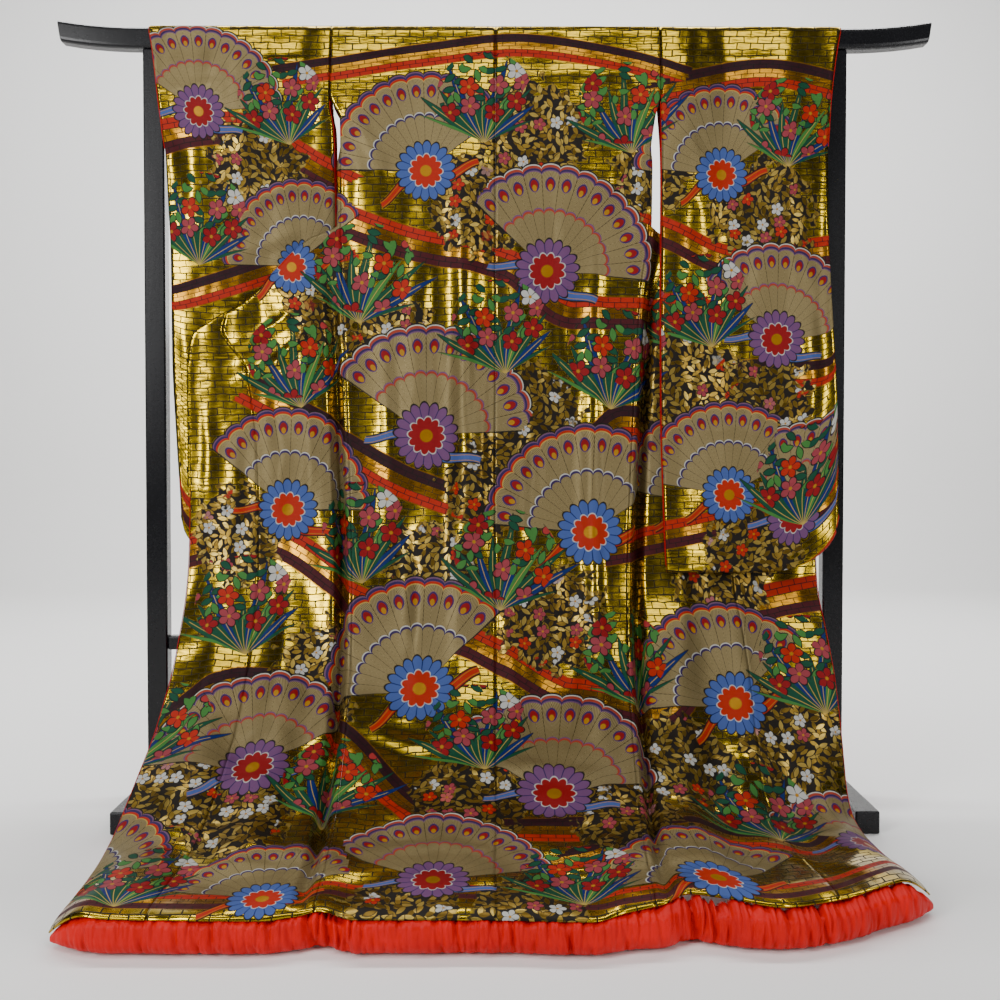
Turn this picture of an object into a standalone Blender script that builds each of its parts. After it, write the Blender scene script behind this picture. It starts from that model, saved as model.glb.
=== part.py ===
"""An uchikake wedding kimono hung by its sleeves on a lacquered kimono stand.

Metres, +Z up. The back of the garment faces -Y. The origin is on the floor, under the middle
of the whole outline. The hanging shape is worked out in the frame of the stand, whose bar runs
along X at Y = 0, and is moved back by BAR_Y at the end.
"""

import math

import bmesh
import bpy
import numpy as np

# Driving sizes of the stand
BAR_LENGTH = 1.666
BAR_DEPTH = 0.036
BAR_HEIGHT = 0.040
BAR_TOP = 1.478
BAR_RISE = 0.013
BAR_RISE_START = 0.672
BAR_ROUND = 0.008
POST_X = 0.652
POST_WIDTH = 0.040
POST_DEPTH = 0.030
FOOT_LENGTH = 0.440
FOOT_WIDTH = 0.043
FOOT_HEIGHT = 0.040
RAIL_HEIGHT = 0.300
RAIL_SIZE = 0.026
EDGE_ROUND = 0.003

# Driving sizes of the garment
BAR_Y = 0.2377
WALL = 0.0022
SEAM = 0.0003
LENGTH = 1.800
NECK_HALF = 0.090
COLLAR_WIDTH = 0.070
COLLAR_MITRE = 0.075
COLLAR_END = 0.880
SIDE_OPEN = 0.190
SIDE_JOIN = 0.290
SLEEVE_LENGTH = 1.0535
SLEEVE_CORNER_WIDE = 0.140
SLEEVE_CORNER_HIGH = 0.100
CUFF_OPEN = 0.215
CUFF_CLOSED = 0.265
OKUMI_START = 0.300
FOLD_BULGE = 0.0065
PLEAT_START = 0.004
PLEAT_WIDE = 0.034
WING_WAVE_HIGH = 0.005
WING_WAVE_LONG = 0.130
TURNED_WAVE_HIGH = 0.021
TURNED_WAVE_LONG = 0.072
WRAP_END = 0.0265
WRAP_DROP = 1.4965

# Driving sizes of the padded hem roll
ROLL_DEEP = 0.030
ROLL_CLEAR = 0.0028
ROLL_TIP_LONG = 0.060
ROLL_GATHERS = 48
GATHER_SHALLOW = 0.05
GATHER_DEEP = 0.12
ROLL_AROUND = 10

LEFT, RIGHT = -1, 1
TURN_STEPS = 59

# Side profiles of the hanging cloth, from the top of the bar to the hem: (y, z)
OVER_THE_BAR = ((0.0, 1.4805), (-0.010, 1.4805), (-0.0174, 1.4774), (-0.0205, 1.470), (-0.0218, 1.445))
CENTRE_SECTION = OVER_THE_BAR + (
    (-0.030, 1.380), (-0.045, 1.200), (-0.060, 0.900), (-0.075, 0.600), (-0.099, 0.430),
    (-0.130, 0.335), (-0.185, 0.245), (-0.260, 0.175), (-0.370, 0.110), (-0.490, 0.075),
    (-0.590, 0.0625), (-0.640, 0.0595), (-0.665, 0.0580), (-0.683, 0.0505),
)
LEFT_SECTION = OVER_THE_BAR + (
    (-0.030, 1.380), (-0.043, 1.200), (-0.046, 0.900), (-0.044, 0.700), (-0.044, 0.560),
    (-0.052, 0.470), (-0.068, 0.409), (-0.104, 0.345), (-0.153, 0.275), (-0.200, 0.231),
    (-0.251, 0.190), (-0.334, 0.145), (-0.406, 0.108), (-0.451, 0.085), (-0.520, 0.066),
    (-0.600, 0.060), (-0.640, 0.0590), (-0.665, 0.0565), (-0.683, 0.0505),
)
RIGHT_SECTION = OVER_THE_BAR + (
    (-0.030, 1.380), (-0.043, 1.200), (-0.044, 0.900), (-0.046, 0.700), (-0.050, 0.520),
    (-0.058, 0.420), (-0.090, 0.350), (-0.140, 0.265), (-0.168, 0.200), (-0.198, 0.130),
    (-0.225, 0.075), (-0.262, 0.048), (-0.320, 0.041), (-0.400, 0.045), (-0.470, 0.053),
    (-0.520, 0.059), (-0.560, 0.061), (-0.590, 0.0585),
)

# Where the side seam hangs: (length from the shoulder, left x, right x)
SIDE_SEAM = (
    (0.000, 0.3127, 0.3127), (0.150, 0.3127, 0.3127), (0.162, 0.3085, 0.3105), (0.195, 0.2935, 0.3020),
    (0.280, 0.2920, 0.2915), (0.390, 0.2915, 0.2890), (0.520, 0.2870, 0.2730), (0.790, 0.2760, 0.2570),
    (1.030, 0.2660, 0.2460), (1.300, 0.2580, 0.2380), (1.500, 0.2520, 0.2300), (1.800, 0.2440, 0.2150),
)
# How far the front panel spreads past the side seam: (length from the shoulder, left, right)
WING_SPREAD = (
    (0.000, 0.000, 0.000), (0.395, 0.000, 0.000), (0.420, 0.056, 0.050), (0.480, 0.124, 0.150),
    (0.527, 0.171, 0.232), (0.563, 0.238, 0.285), (0.595, 0.283, 0.318), (0.650, 0.294, 0.338),
    (0.800, 0.301, 0.351), (1.000, 0.311, 0.366), (1.200, 0.320, 0.376), (1.500, 0.334, 0.385),
    (1.650, 0.346, 0.400), (1.800, 0.356, 0.412),
)
# Cloth folded back behind the spread front: (length from the shoulder, its width)
TURNED_BACK = (
    (0.000, 0.223), (0.100, 0.223), (0.200, 0.232), (0.300, 0.248), (0.390, 0.240), (0.450, 0.190),
    (0.500, 0.140), (0.550, 0.090), (0.600, 0.045), (0.660, 0.000), (1.800, 0.000),
)
# How deep the folded-back layer hangs behind the back panel: (length, left, right)
TURNED_DEPTH = (
    (0.000, 0.0410, 0.0410), (0.0265, 0.0410, 0.0410), (0.050, 0.0440, 0.0440), (0.100, 0.0515, 0.0515),
    (0.200, 0.0460, 0.0480), (0.300, 0.0330, 0.0400), (0.390, 0.0225, 0.0370), (0.420, 0.0190, 0.0360),
    (0.500, 0.0155, 0.0350), (0.900, 0.0150, 0.0385), (1.050, 0.0150, 0.0385), (1.800, 0.0150, 0.0150),
)
# How deep the spread front lies, and its pleat beside the side seam: (length, left, right, pleat)
WING_DEPTH = (
    (0.000, 0.000, 0.018, 0.000), (0.420, 0.000, 0.018, 0.000), (0.600, 0.000, 0.018, 0.020),
    (0.900, 0.000, 0.026, 0.027), (1.030, 0.000, 0.027, 0.028), (1.150, 0.000, 0.010, 0.028),
    (1.350, 0.000, 0.002, 0.026), (1.600, 0.000, 0.000, 0.018), (1.800, 0.000, 0.000, 0.004),
)
# Cut widths: (length from the shoulder, front panel, okumi panel)
CUT_WIDTHS = (
    (0.000, 0.223, 0.000), (0.280, 0.250, 0.000), (0.300, 0.250, 0.006), (0.850, 0.250, 0.155),
    (1.800, 0.250, 0.155),
)
# Upright folds of the back: (x at the top, x at the hem, width, height, from, to)
BACK_FOLDS = (
    (-0.045, -0.060, 0.030, 0.008, 0.12, 1.60),
    (0.170, 0.185, 0.026, 0.008, 0.20, 1.62),
    (-0.165, -0.175, 0.034, -0.006, 0.25, 1.60),
    (0.075, 0.090, 0.036, -0.006, 0.30, 1.60),
)
# Hanging places of the sleeves: (length, y of the near layer, y of the far layer,
# x of the open inner edge, x of the outer edge near, x of the outer edge far)
LEFT_SLEEVE = (
    (0.0265, -0.0205, 0.0205, 0.3133, 0.6570, 0.6570), (0.050, -0.0225, 0.0218, 0.3133, 0.6520, 0.6420),
    (0.100, -0.0300, 0.0215, 0.3133, 0.6440, 0.6220), (0.172, -0.0350, 0.0110, 0.3133, 0.6350, 0.6220),
    (0.215, -0.0340, 0.0060, 0.3065, 0.6300, 0.6220), (0.265, -0.0310, 0.0020, 0.3050, 0.6280, 0.6280),
    (0.350, -0.0230, -0.0015, 0.3050, 0.6250, 0.6250), (0.450, -0.0155, -0.0030, 0.3050, 0.6215, 0.6215),
    (0.640, -0.0130, -0.0030, 0.3060, 0.6205, 0.6205), (0.810, -0.0130, -0.0030, 0.3080, 0.6130, 0.6130),
    (0.930, -0.0130, -0.0035, 0.3100, 0.6060, 0.6060), (1.0535, -0.0120, -0.0045, 0.3120, 0.6020, 0.6020),
)
RIGHT_SLEEVE = (
    (0.0265, -0.0205, 0.0205, 0.3133, 0.6570, 0.6570), (0.050, -0.0225, 0.0218, 0.3133, 0.6520, 0.6420),
    (0.100, -0.0300, 0.0215, 0.3133, 0.6430, 0.6220), (0.155, -0.0345, 0.0135, 0.3133, 0.6360, 0.6220),
    (0.200, -0.0385, -0.0060, 0.3135, 0.6320, 0.6220), (0.265, -0.0460, -0.0300, 0.3135, 0.6285, 0.6285),
    (0.400, -0.0570, -0.0450, 0.3120, 0.6270, 0.6270), (0.510, -0.0610, -0.0495, 0.3110, 0.6310, 0.6310),
    (0.750, -0.0680, -0.0575, 0.3115, 0.6425, 0.6425), (0.940, -0.0760, -0.0670, 0.3160, 0.6435, 0.6435),
    (1.0535, -0.0810, -0.0745, 0.3205, 0.6430, 0.6430),
)
# Course of the hem roll over the floor: (x, y of its middle, half its height, angle of the hem seam)
HEM_COURSE = (
    (-0.600, -0.647, 0.0270, 55.0), (-0.570, -0.650, 0.0275, 55.0), (-0.510, -0.659, 0.0275, 52.0),
    (-0.310, -0.662, 0.0275, 50.0), (-0.261, -0.648, 0.0270, 55.0), (-0.237, -0.640, 0.0270, 58.0),
    (-0.188, -0.661, 0.0275, 52.0), (-0.012, -0.660, 0.0275, 50.0), (0.128, -0.667, 0.0275, 50.0),
    (0.180, -0.652, 0.0280, 62.0), (0.225, -0.647, 0.0290, 75.0), (0.264, -0.624, 0.0300, 85.0),
    (0.308, -0.641, 0.0310, 85.0), (0.381, -0.652, 0.0290, 72.0), (0.467, -0.632, 0.0280, 80.0),
    (0.553, -0.584, 0.0275, 85.0), (0.632, -0.548, 0.0270, 85.0),
)

# Lengths from the shoulder at which the cloth has a row of points
BODY_ROWS = (
    0.0003, 0.010, 0.01825, 0.0265, 0.060, 0.110, 0.150, 0.195, 0.240, 0.290, 0.340, 0.390, 0.420,
    0.450, 0.485, 0.520, 0.555, 0.590, 0.625, 0.665, 0.760, 0.880, 1.000, 1.090, 1.170, 1.250, 1.330,
    1.410, 1.490, 1.570, 1.640, 1.700, 1.745, 1.770, 1.786, LENGTH,
)
# More rows for the fronts, where the fold runs slantwise from the front panel to the okumi
FOLD_ROWS = (0.2175, 0.265, 0.502, 0.532, 0.544, 0.566, 0.578, 0.602, 0.613, 0.637, 0.650)
FRONT_ROWS = sorted(BODY_ROWS + FOLD_ROWS)
SLEEVE_ROWS = (
    0.0, 0.010, 0.01825, 0.0265, 0.070, 0.120, 0.170, 0.215, 0.265, 0.330, 0.430, 0.560, 0.700,
    0.830, 0.940, 1.010, 1.048,
)
SLEEVE_COLUMNS = (0.0, 0.14, 0.30, 0.46, 0.60, 0.72, 0.82, 0.90, 0.96, 1.0)


def smooth(value):
    """0 to 1 with a soft start and end."""
    value = np.clip(value, 0.0, 1.0)
    return value * value * (3 - 2 * value)


def read(table, at, column=1):
    """One column of a table read between its rows on a smooth curve that never overshoots."""
    rows = np.array(table, float)
    knots, values = rows[:, 0], rows[:, column]
    steps = np.diff(knots)
    slopes = np.diff(values) / steps
    before, after = slopes[:-1], slopes[1:]
    same_way = before * after > 0
    total = np.where(same_way, before + after, 1.0)
    lean = np.concatenate([[slopes[0]], np.where(same_way, 2 * before * after / total, 0.0), [slopes[-1]]])
    at = np.clip(at, knots[0], knots[-1])
    i = np.clip(np.searchsorted(knots, at, side="right") - 1, 0, len(steps) - 1)
    u = (at - knots[i]) / steps[i]
    return (
        values[i] * (1 + 2 * u) * (1 - u) ** 2
        + values[i + 1] * u * u * (3 - 2 * u)
        + steps[i] * (lean[i] * u * (1 - u) ** 2 - lean[i + 1] * u * u * (1 - u))
    )


def by_side(side):
    """The column of a table with a left and a right value."""
    return 1 if side == LEFT else 2


class Section:
    """A side profile read by the length of cloth from the shoulder."""

    def __init__(self, points):
        points = np.array(points, float)
        chord = np.concatenate([[0.0], np.cumsum(np.hypot(*np.diff(points, axis=0).T))])
        fine = np.linspace(0.0, chord[-1], 2400)
        self.y = read(np.column_stack([chord, points[:, 0]]), fine)
        self.z = read(np.column_stack([chord, points[:, 1]]), fine)
        self.run = np.concatenate([[0.0], np.cumsum(np.hypot(np.diff(self.y), np.diff(self.z)))])

    def at(self, length):
        run = np.clip(length / LENGTH, 0.0, 1.0) * self.run[-1]
        return np.interp(run, self.run, self.y), np.interp(run, self.run, self.z)


SECTIONS = {0: Section(CENTRE_SECTION), LEFT: Section(LEFT_SECTION), RIGHT: Section(RIGHT_SECTION)}


def roll_taper(x):
    """How full the hem roll is: 1 along it and small at its pointed ends."""
    first, last = HEM_COURSE[0][0], HEM_COURSE[-1][0]
    inside = np.minimum(x - first, last - x) / ROLL_TIP_LONG
    return 0.16 + 0.84 * np.sqrt(smooth(inside + 0.02))


def roll_section(x):
    """Middle y and z of the hem roll and its half depth and half height."""
    full = roll_taper(x)
    high = read(HEM_COURSE, x, 2) * full
    return read(HEM_COURSE, x), high + 0.010 * (1 - full), ROLL_DEEP * full, high


def roll_clearance(x):
    """How far the middle of the cloth lies off the roll, a little more over its pointed ends."""
    inside = np.minimum(x - HEM_COURSE[0][0], HEM_COURSE[-1][0] - x)
    return ROLL_CLEAR + 0.004 * smooth(1 - inside / 0.10)


def hem_seam(x):
    """Where the cloth ends on the roll."""
    y, z, deep, high = roll_section(x)
    angle = np.radians(read(HEM_COURSE, x, 3))
    clear = roll_clearance(x)
    return y - (deep + clear) * np.cos(angle), z + (high + clear) * np.sin(angle)


def back_folds(length, x):
    """Height of the upright folds of the back."""
    height = np.zeros_like(x)
    for top, hem, wide, high, start, end in BACK_FOLDS:
        middle = top + (hem - top) * length / LENGTH
        grown = smooth((length - start) / 0.35) * smooth((end - length) / 0.30)
        height = height + high * grown * np.exp(-(((x - middle) / wide) ** 2))
    return height


def hang(length, x, depth):
    """The point of the cloth at a length from the shoulder and a place across, depth behind its face."""
    x = np.asarray(x, float)
    outward = smooth((np.abs(x) - 0.16) / 0.44)
    ahead, behind = min(length + 0.004, LENGTH), max(length - 0.004, 0.0)
    places = []
    for at in (length, ahead, behind):
        middle, left, right = (SECTIONS[key].at(at) for key in (0, LEFT, RIGHT))
        side = [np.where(x < 0, left[i], right[i]) for i in (0, 1)]
        places.append([middle[i] + outward * (side[i] - middle[i]) for i in (0, 1)])
    y, z = places[0]
    run_y, run_z = places[1][0] - places[2][0], places[1][1] - places[2][1]
    long = np.hypot(run_y, run_z)
    out_y, out_z = run_z / long, -run_y / long
    seam_y, seam_z = hem_seam(x)
    middle, left, right = (SECTIONS[key].at(LENGTH) for key in (0, LEFT, RIGHT))
    end_y, end_z = (
        middle[i] + outward * (np.where(x < 0, left[i], right[i]) - middle[i]) for i in (0, 1))
    pulled = smooth((length - 1.30) / (LENGTH - 1.30))
    y = y + pulled * (seam_y - end_y)
    z = z + pulled * (seam_z - end_z)
    lift = back_folds(length, x) - depth
    y, z = y + out_y * lift, z + out_z * lift
    roll_y, roll_z, deep, high = roll_section(x)
    deep, high = deep + roll_clearance(x), high + roll_clearance(x)
    inside = np.hypot((y - roll_y) / deep, (z - roll_z) / high)
    push = np.where(inside < 1.0, 1.0 / np.maximum(inside, 0.2), 1.0)
    y, z = roll_y + (y - roll_y) * push, roll_z + (z - roll_z) * push
    return np.stack([x, y, np.maximum(z, 0.004)], axis=-1)


def front_course(side, length):
    """The course of the front across one row, seen from above: x outwards, depth, and run along it."""
    seam_x = read(SIDE_SEAM, length, by_side(side))
    spread = read(WING_SPREAD, length, by_side(side))
    turned = read(TURNED_DEPTH, length, by_side(side))
    lane = read(WING_DEPTH, length, by_side(side)) * smooth(spread / 0.025)
    pleat = read(WING_DEPTH, length, 3) * smooth((spread - 0.05) / 0.10)
    joined = smooth((length - SIDE_OPEN) / (SIDE_JOIN - SIDE_OPEN))
    across = np.linspace(0.0, 1.0, 140)
    first_angle = math.pi * (1 - joined) if spread <= 0 else 0.0
    out = SEAM + across * spread
    wave = WING_WAVE_HIGH * smooth((length - 0.75) / 0.5) * smooth((1.78 - length) / 0.2)
    ripple = wave * np.sin(2 * math.pi * out / WING_WAVE_LONG + side) * smooth((out - 0.045) / 0.05)
    into_pleat = np.clip((out - PLEAT_START) / PLEAT_WIDE, 0, 1)
    out_depth = lane * smooth((out - PLEAT_START) / 0.022) + ripple
    out_depth += pleat * np.sin(math.pi * into_pleat) ** 2
    if spread <= 0:
        out, out_depth = np.array([SEAM + WALL / 2 * min(1.0, 3 * math.sin(first_angle))]), np.array([0.0])
    base = out_depth[-1]
    lane_end = seam_x + out[-1] - FOLD_BULGE * math.sin(first_angle)
    turn = np.linspace(first_angle, math.pi, TURN_STEPS + 1)
    turn_depth = base + (turned - base) * (1 - np.cos(turn)) / 2
    out_depth[-1] = turn_depth[0]
    back_x = np.linspace(0.0, 0.40, 160)
    swell = TURNED_WAVE_HIGH * smooth((length - 0.10) / 0.12) * smooth((0.52 - length) / 0.12)
    window = smooth((0.275 - (lane_end - back_x)) / 0.05)
    back_depth = turned + swell * window * (1 - np.cos(2 * math.pi * back_x / TURNED_WAVE_LONG)) / 2
    x = np.concatenate([seam_x + out, lane_end + FOLD_BULGE * np.sin(turn[1:]), lane_end - back_x[1:]])
    depth = np.concatenate([out_depth, turn_depth[1:], back_depth[1:]])
    run = np.concatenate([[0.0], np.cumsum(np.hypot(np.diff(x), np.diff(depth)))])
    keep = np.concatenate([[True], np.diff(run) > 1e-9])
    lane_run = run[len(out) - 1]
    turn_run = run[len(out) - 1 + TURN_STEPS] - lane_run
    return x[keep], depth[keep], run[keep], lane_run, turn_run


def cut_width(length):
    """Cut width of the front and okumi panels together."""
    return read(CUT_WIDTHS, length) + read(CUT_WIDTHS, length, 2)


def front_run(side, length, across):
    """Run along the course for a place across the cut."""
    lane_run = front_course(side, length)[3]
    wide = cut_width(length)
    edge_run = lane_run + read(TURNED_BACK, length)
    return np.where(across <= wide, across * edge_run / wide, edge_run + across - wide)


def front_place(side, length, across):
    """Points of the front at one length, for places across the cut from the side seam."""
    x, depth, run, _, _ = front_course(side, length)
    at = front_run(side, length, across)
    x, depth = np.interp(at, run, x), np.interp(at, run, depth)
    if length > WRAP_END:
        return hang(length, side * x, depth)
    points = hang(length, side * x, 0.0 * x)
    points[:, 1] *= -1
    return points


def back_place(side, length, across):
    """Points of a back panel at one length, for places from the centre seam to the side seam."""
    edge = read(SIDE_SEAM, length, by_side(side))
    x = SEAM / 2 + np.asarray(across) * (edge - SEAM / 2)
    return hang(length, side * x, 0.0 * x)


def neck_place(side, length, across):
    """Points of the neck collar, on the far side of the bar."""
    half = NECK_HALF - COLLAR_WIDTH * length / COLLAR_MITRE - 2 * SEAM
    x = np.asarray(across) * half
    if length > WRAP_END:
        return hang(length, x, read(TURNED_DEPTH, length) + 0.0 * x)
    points = hang(length, x, 0.0 * x)
    points[:, 1] *= -1
    return points


def sleeve_drop(side, across):
    """How much shorter the sleeve is at a place across, by its round outer corner."""
    table = LEFT_SLEEVE if side == LEFT else RIGHT_SLEEVE
    inner, outer = table[-1][3], table[-1][4]
    x = inner + across * (outer - inner)
    into = np.clip((x - outer + SLEEVE_CORNER_WIDE) / SLEEVE_CORNER_WIDE, 0.0, 1.0)
    return SLEEVE_CORNER_HIGH * (1 - np.sqrt(1 - into * into))


def sleeve_layer(side, layer, length, across):
    """Points of the near (-1) or far (1) layer of a sleeve, across from its open inner edge."""
    table = LEFT_SLEEVE if side == LEFT else RIGHT_SLEEVE
    across = np.asarray(across, float)
    length = np.maximum(0.0, length - sleeve_drop(side, across) * smooth((length - 0.45) / 0.5))
    inner = read(table, length, 3)
    outer = read(table, length, 4 if layer < 0 else 5)
    near, far = read(table, length, 1), read(table, length, 2)
    middle = (near + far) / 2 + layer * (WALL / 2 + SEAM * 0.7)
    closed = smooth((length - CUFF_OPEN) / (CUFF_CLOSED - CUFF_OPEN)) * smooth((across - 0.84) / 0.16)
    bottom = smooth((length + sleeve_drop(side, across) - 1.0) / 0.05) * 0.4
    y = np.where(layer < 0, near, far)
    y = y + (middle - y) * np.maximum(closed, bottom)
    wrap_y, wrap_z = SECTIONS[0].at(length)
    over = length <= WRAP_END
    y = np.where(over, -layer * wrap_y, y)
    z = np.where(over, wrap_z, WRAP_DROP - length)
    x = side * (inner + across * (outer - inner))
    return np.stack([x, y, z], axis=-1)


def faced(place, length, across, ahead=0.002, aside=0.0012):
    """Points and unit normals of a cloth surface given by place(length, across)."""
    down = place(min(length + ahead, LENGTH), across) - place(max(length - ahead, 0.0), across)
    over = place(length, across + aside) - place(length, across - aside)
    normal = np.cross(over, down)
    normal /= np.linalg.norm(normal, axis=1)[:, None]
    return place(length, across), normal


def finish_mesh(name, bm, material):
    """A named object from a closed mesh, moved to the part's own frame, with its faces outwards."""
    bmesh.ops.recalc_face_normals(bm, faces=bm.faces)
    if bm.calc_volume(signed=True) < 0:
        bmesh.ops.reverse_faces(bm, faces=bm.faces)
    bmesh.ops.translate(bm, verts=bm.verts, vec=(0.0, BAR_Y, 0.0))
    mesh = bpy.data.meshes.new(name)
    bm.to_mesh(mesh)
    bm.free()
    mesh.shade_smooth()
    mesh.set_sharp_from_angle(angle=math.radians(40))
    mesh.materials.append(material)
    obj = bpy.data.objects.new(name, mesh)
    bpy.context.scene.collection.objects.link(obj)
    return obj


def cloth_wall(name, rows, material, ring=False):
    """A closed wall round a sheet given as rows of (points, normals). A ring's rows close on themselves."""
    bm = bmesh.new()
    faces = []
    for way in (1, -1):
        face = [[bm.verts.new(p + way * WALL / 2 * n) for p, n in zip(*row)] for row in rows]
        faces.append(face)
    count, wide = len(rows), len(rows[0][0])
    last = count if ring else count - 1
    for face in faces:
        for i in range(last):
            upper, lower = face[i], face[(i + 1) % count]
            for j in range(wide - 1):
                bm.faces.new((upper[j], upper[j + 1], lower[j + 1], lower[j]))
    outer, inner = faces
    for i in range(last):
        k = (i + 1) % count
        for j in (0, wide - 1):
            bm.faces.new((outer[i][j], outer[k][j], inner[k][j], inner[i][j]))
    if not ring:
        for i in (0, count - 1):
            for j in range(wide - 1):
                bm.faces.new((outer[i][j], outer[i][j + 1], inner[i][j + 1], inner[i][j]))
    return finish_mesh(name, bm, material)


def spaced_columns(side, length, start, end, count):
    """Places across the cut, closer where the cloth turns back on itself and in its pleat."""
    fine = np.linspace(start, end, 400)
    _, _, _, lane_run, turn_run = front_course(side, length)
    run = front_run(side, length, fine)
    closeness = 1 + 7 * np.exp(-(((run - lane_run - turn_run / 2) / 0.013) ** 2))
    closeness += 4 * np.exp(-(((run - 0.035) / 0.03) ** 2)) * smooth((length - 0.45) / 0.1)
    total = np.concatenate([[0.0], np.cumsum((closeness[1:] + closeness[:-1]) / 2)])
    return np.interp(np.linspace(0, total[-1], count + 1), total, fine)


def make_back(side, name, material):
    across = np.linspace(0.0, 1.0, 12)
    rows = [faced(lambda t, a: back_place(side, t, a), t, across, aside=0.004) for t in BODY_ROWS]
    cloth_wall(name, rows, material)


def make_front(side, name, material):
    rows = []
    for length in FRONT_ROWS:
        across = spaced_columns(side, length, 0.0, read(CUT_WIDTHS, length) - SEAM, 16)
        rows.append(faced(lambda t, a: front_place(side, t, a), length, across))
    cloth_wall(name, rows, material)


def make_okumi(side, name, material):
    rows = []
    for length in (t for t in FRONT_ROWS if t > OKUMI_START):
        start, end = read(CUT_WIDTHS, length), cut_width(length)
        across = spaced_columns(side, length, start, end, 7)
        rows.append(faced(lambda t, a: front_place(side, t, a), length, across))
    cloth_wall(name, rows, material)


def make_side_collar(side, name, material):
    rows = []
    for length in (t for t in FRONT_ROWS if 0.005 < t <= COLLAR_END):
        start = cut_width(length) + SEAM
        wide = COLLAR_WIDTH * min(1.0, length / COLLAR_MITRE) * smooth((COLLAR_END + 0.05 - length) / 0.10)
        across = spaced_columns(side, length, start, start + wide, 5)
        rows.append(faced(lambda t, a: front_place(side, t, a), length, across))
    cloth_wall(name, rows, material)


def make_neck_collar(name, material):
    across = np.linspace(-1.0, 1.0, 7)
    rows = [
        faced(lambda t, a: neck_place(RIGHT, t, a), t, across, aside=0.01)
        for t in (0.0003, 0.010, 0.01825, 0.0265, 0.050, COLLAR_MITRE)
    ]
    cloth_wall(name, rows, material)


def make_sleeve(side, name, material):
    """A loop of cloth: up the far layer, over the bar, down the near layer and round the bottom."""
    across = np.array(SLEEVE_COLUMNS)
    rows = []
    for length in SLEEVE_ROWS[:0:-1]:
        points, normal = faced(lambda t, a: sleeve_layer(side, 1, t, a), length, across)
        rows.append((points, normal * np.sign(normal[:, 1])[:, None]))
    top = sleeve_layer(side, -1, 0.0, across)
    rows.append((top, np.tile([0.0, 0.0, 1.0], (len(across), 1))))
    for length in SLEEVE_ROWS[1:]:
        points, normal = faced(lambda t, a: sleeve_layer(side, -1, t, a), length, across)
        rows.append((points, -normal * np.sign(normal[:, 1])[:, None]))
    near = sleeve_layer(side, -1, SLEEVE_LENGTH, across)
    far = sleeve_layer(side, 1, SLEEVE_LENGTH, across)
    rows.append(((near + far) / 2, np.tile([0.0, 0.0, -1.0], (len(across), 1))))
    cloth_wall(name, rows, material, ring=True)


def make_hem_roll(name, material):
    """The padded roll: rings along its course, every other one drawn in by a gather of uneven depth."""
    columns = 2 * ROLL_GATHERS
    first, last = HEM_COURSE[0][0], HEM_COURSE[-1][0]
    bm = bmesh.new()
    rings = []
    for i in range(columns + 1):
        x = first + (last - first) * i / columns
        y, z, deep, high = roll_section(x)
        gather = (GATHER_SHALLOW + (GATHER_DEEP - GATHER_SHALLOW) * math.sin(1.7 * i) ** 2) * (i % 2)
        ring = []
        for k in range(ROLL_AROUND):
            angle = 2 * math.pi * (k + 0.5) / ROLL_AROUND
            full = 1 - gather * (1.0 if math.cos(angle) < 0.4 else 0.4)
            around = (x, y + deep * full * math.cos(angle), max(0.0, z + high * full * math.sin(angle)))
            ring.append(bm.verts.new(around))
        rings.append(ring)
    for one, two in zip(rings, rings[1:]):
        for k in range(ROLL_AROUND):
            n = (k + 1) % ROLL_AROUND
            bm.faces.new((one[k], one[n], two[n], two[k]))
    bm.faces.new(rings[0])
    bm.faces.new(rings[-1])
    return finish_mesh(name, bm, material)


def rounded_box(name, low, high, material):
    """A block of the stand with softened edges."""
    bm = bmesh.new()
    bmesh.ops.create_cube(bm, size=1.0)
    size = [b - a for a, b in zip(low, high)]
    middle = [(a + b) / 2 for a, b in zip(low, high)]
    bmesh.ops.scale(bm, verts=bm.verts, vec=size)
    bmesh.ops.translate(bm, verts=bm.verts, vec=middle)
    bmesh.ops.bevel(bm, geom=bm.edges[:], offset=EDGE_ROUND, segments=2, affect="EDGES", profile=0.5)
    return finish_mesh(name, bm, material)


def make_bar(name, material):
    """The upper bar: a rounded rectangle swept along X, with ends that rise."""
    half_deep, half_high = BAR_DEPTH / 2, BAR_HEIGHT / 2
    outline = []
    for quarter, (sy, sz) in enumerate(((1, 1), (-1, 1), (-1, -1), (1, -1))):
        for step in range(4):
            angle = math.radians(90 * quarter + 30 * step)
            outline.append((
                sy * (half_deep - BAR_ROUND) + BAR_ROUND * math.cos(angle),
                sz * (half_high - BAR_ROUND) + BAR_ROUND * math.sin(angle),
            ))
    end = BAR_LENGTH / 2
    rising = [BAR_RISE_START + (end - BAR_RISE_START) * k / 5 for k in range(1, 6)]
    stations = [0.0, BAR_RISE_START] + rising
    stations = [-x for x in stations[:0:-1]] + stations
    bm = bmesh.new()
    rings = []
    for x in stations:
        into = max(0.0, abs(x) - BAR_RISE_START) / (end - BAR_RISE_START)
        lift = BAR_RISE * into * into
        lean = 0.006 * into ** 6
        middle = BAR_TOP - half_high + lift
        ring = []
        for y, z in outline:
            tucked = math.copysign(lean * (0.5 - z / BAR_HEIGHT), x)
            ring.append(bm.verts.new((x - tucked, y, middle + z)))
        rings.append(ring)
    for one, two in zip(rings, rings[1:]):
        for k in range(len(outline)):
            n = (k + 1) % len(outline)
            bm.faces.new((one[k], one[n], two[n], two[k]))
    bm.faces.new(rings[0])
    bm.faces.new(rings[-1])
    return finish_mesh(name, bm, material)


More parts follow.
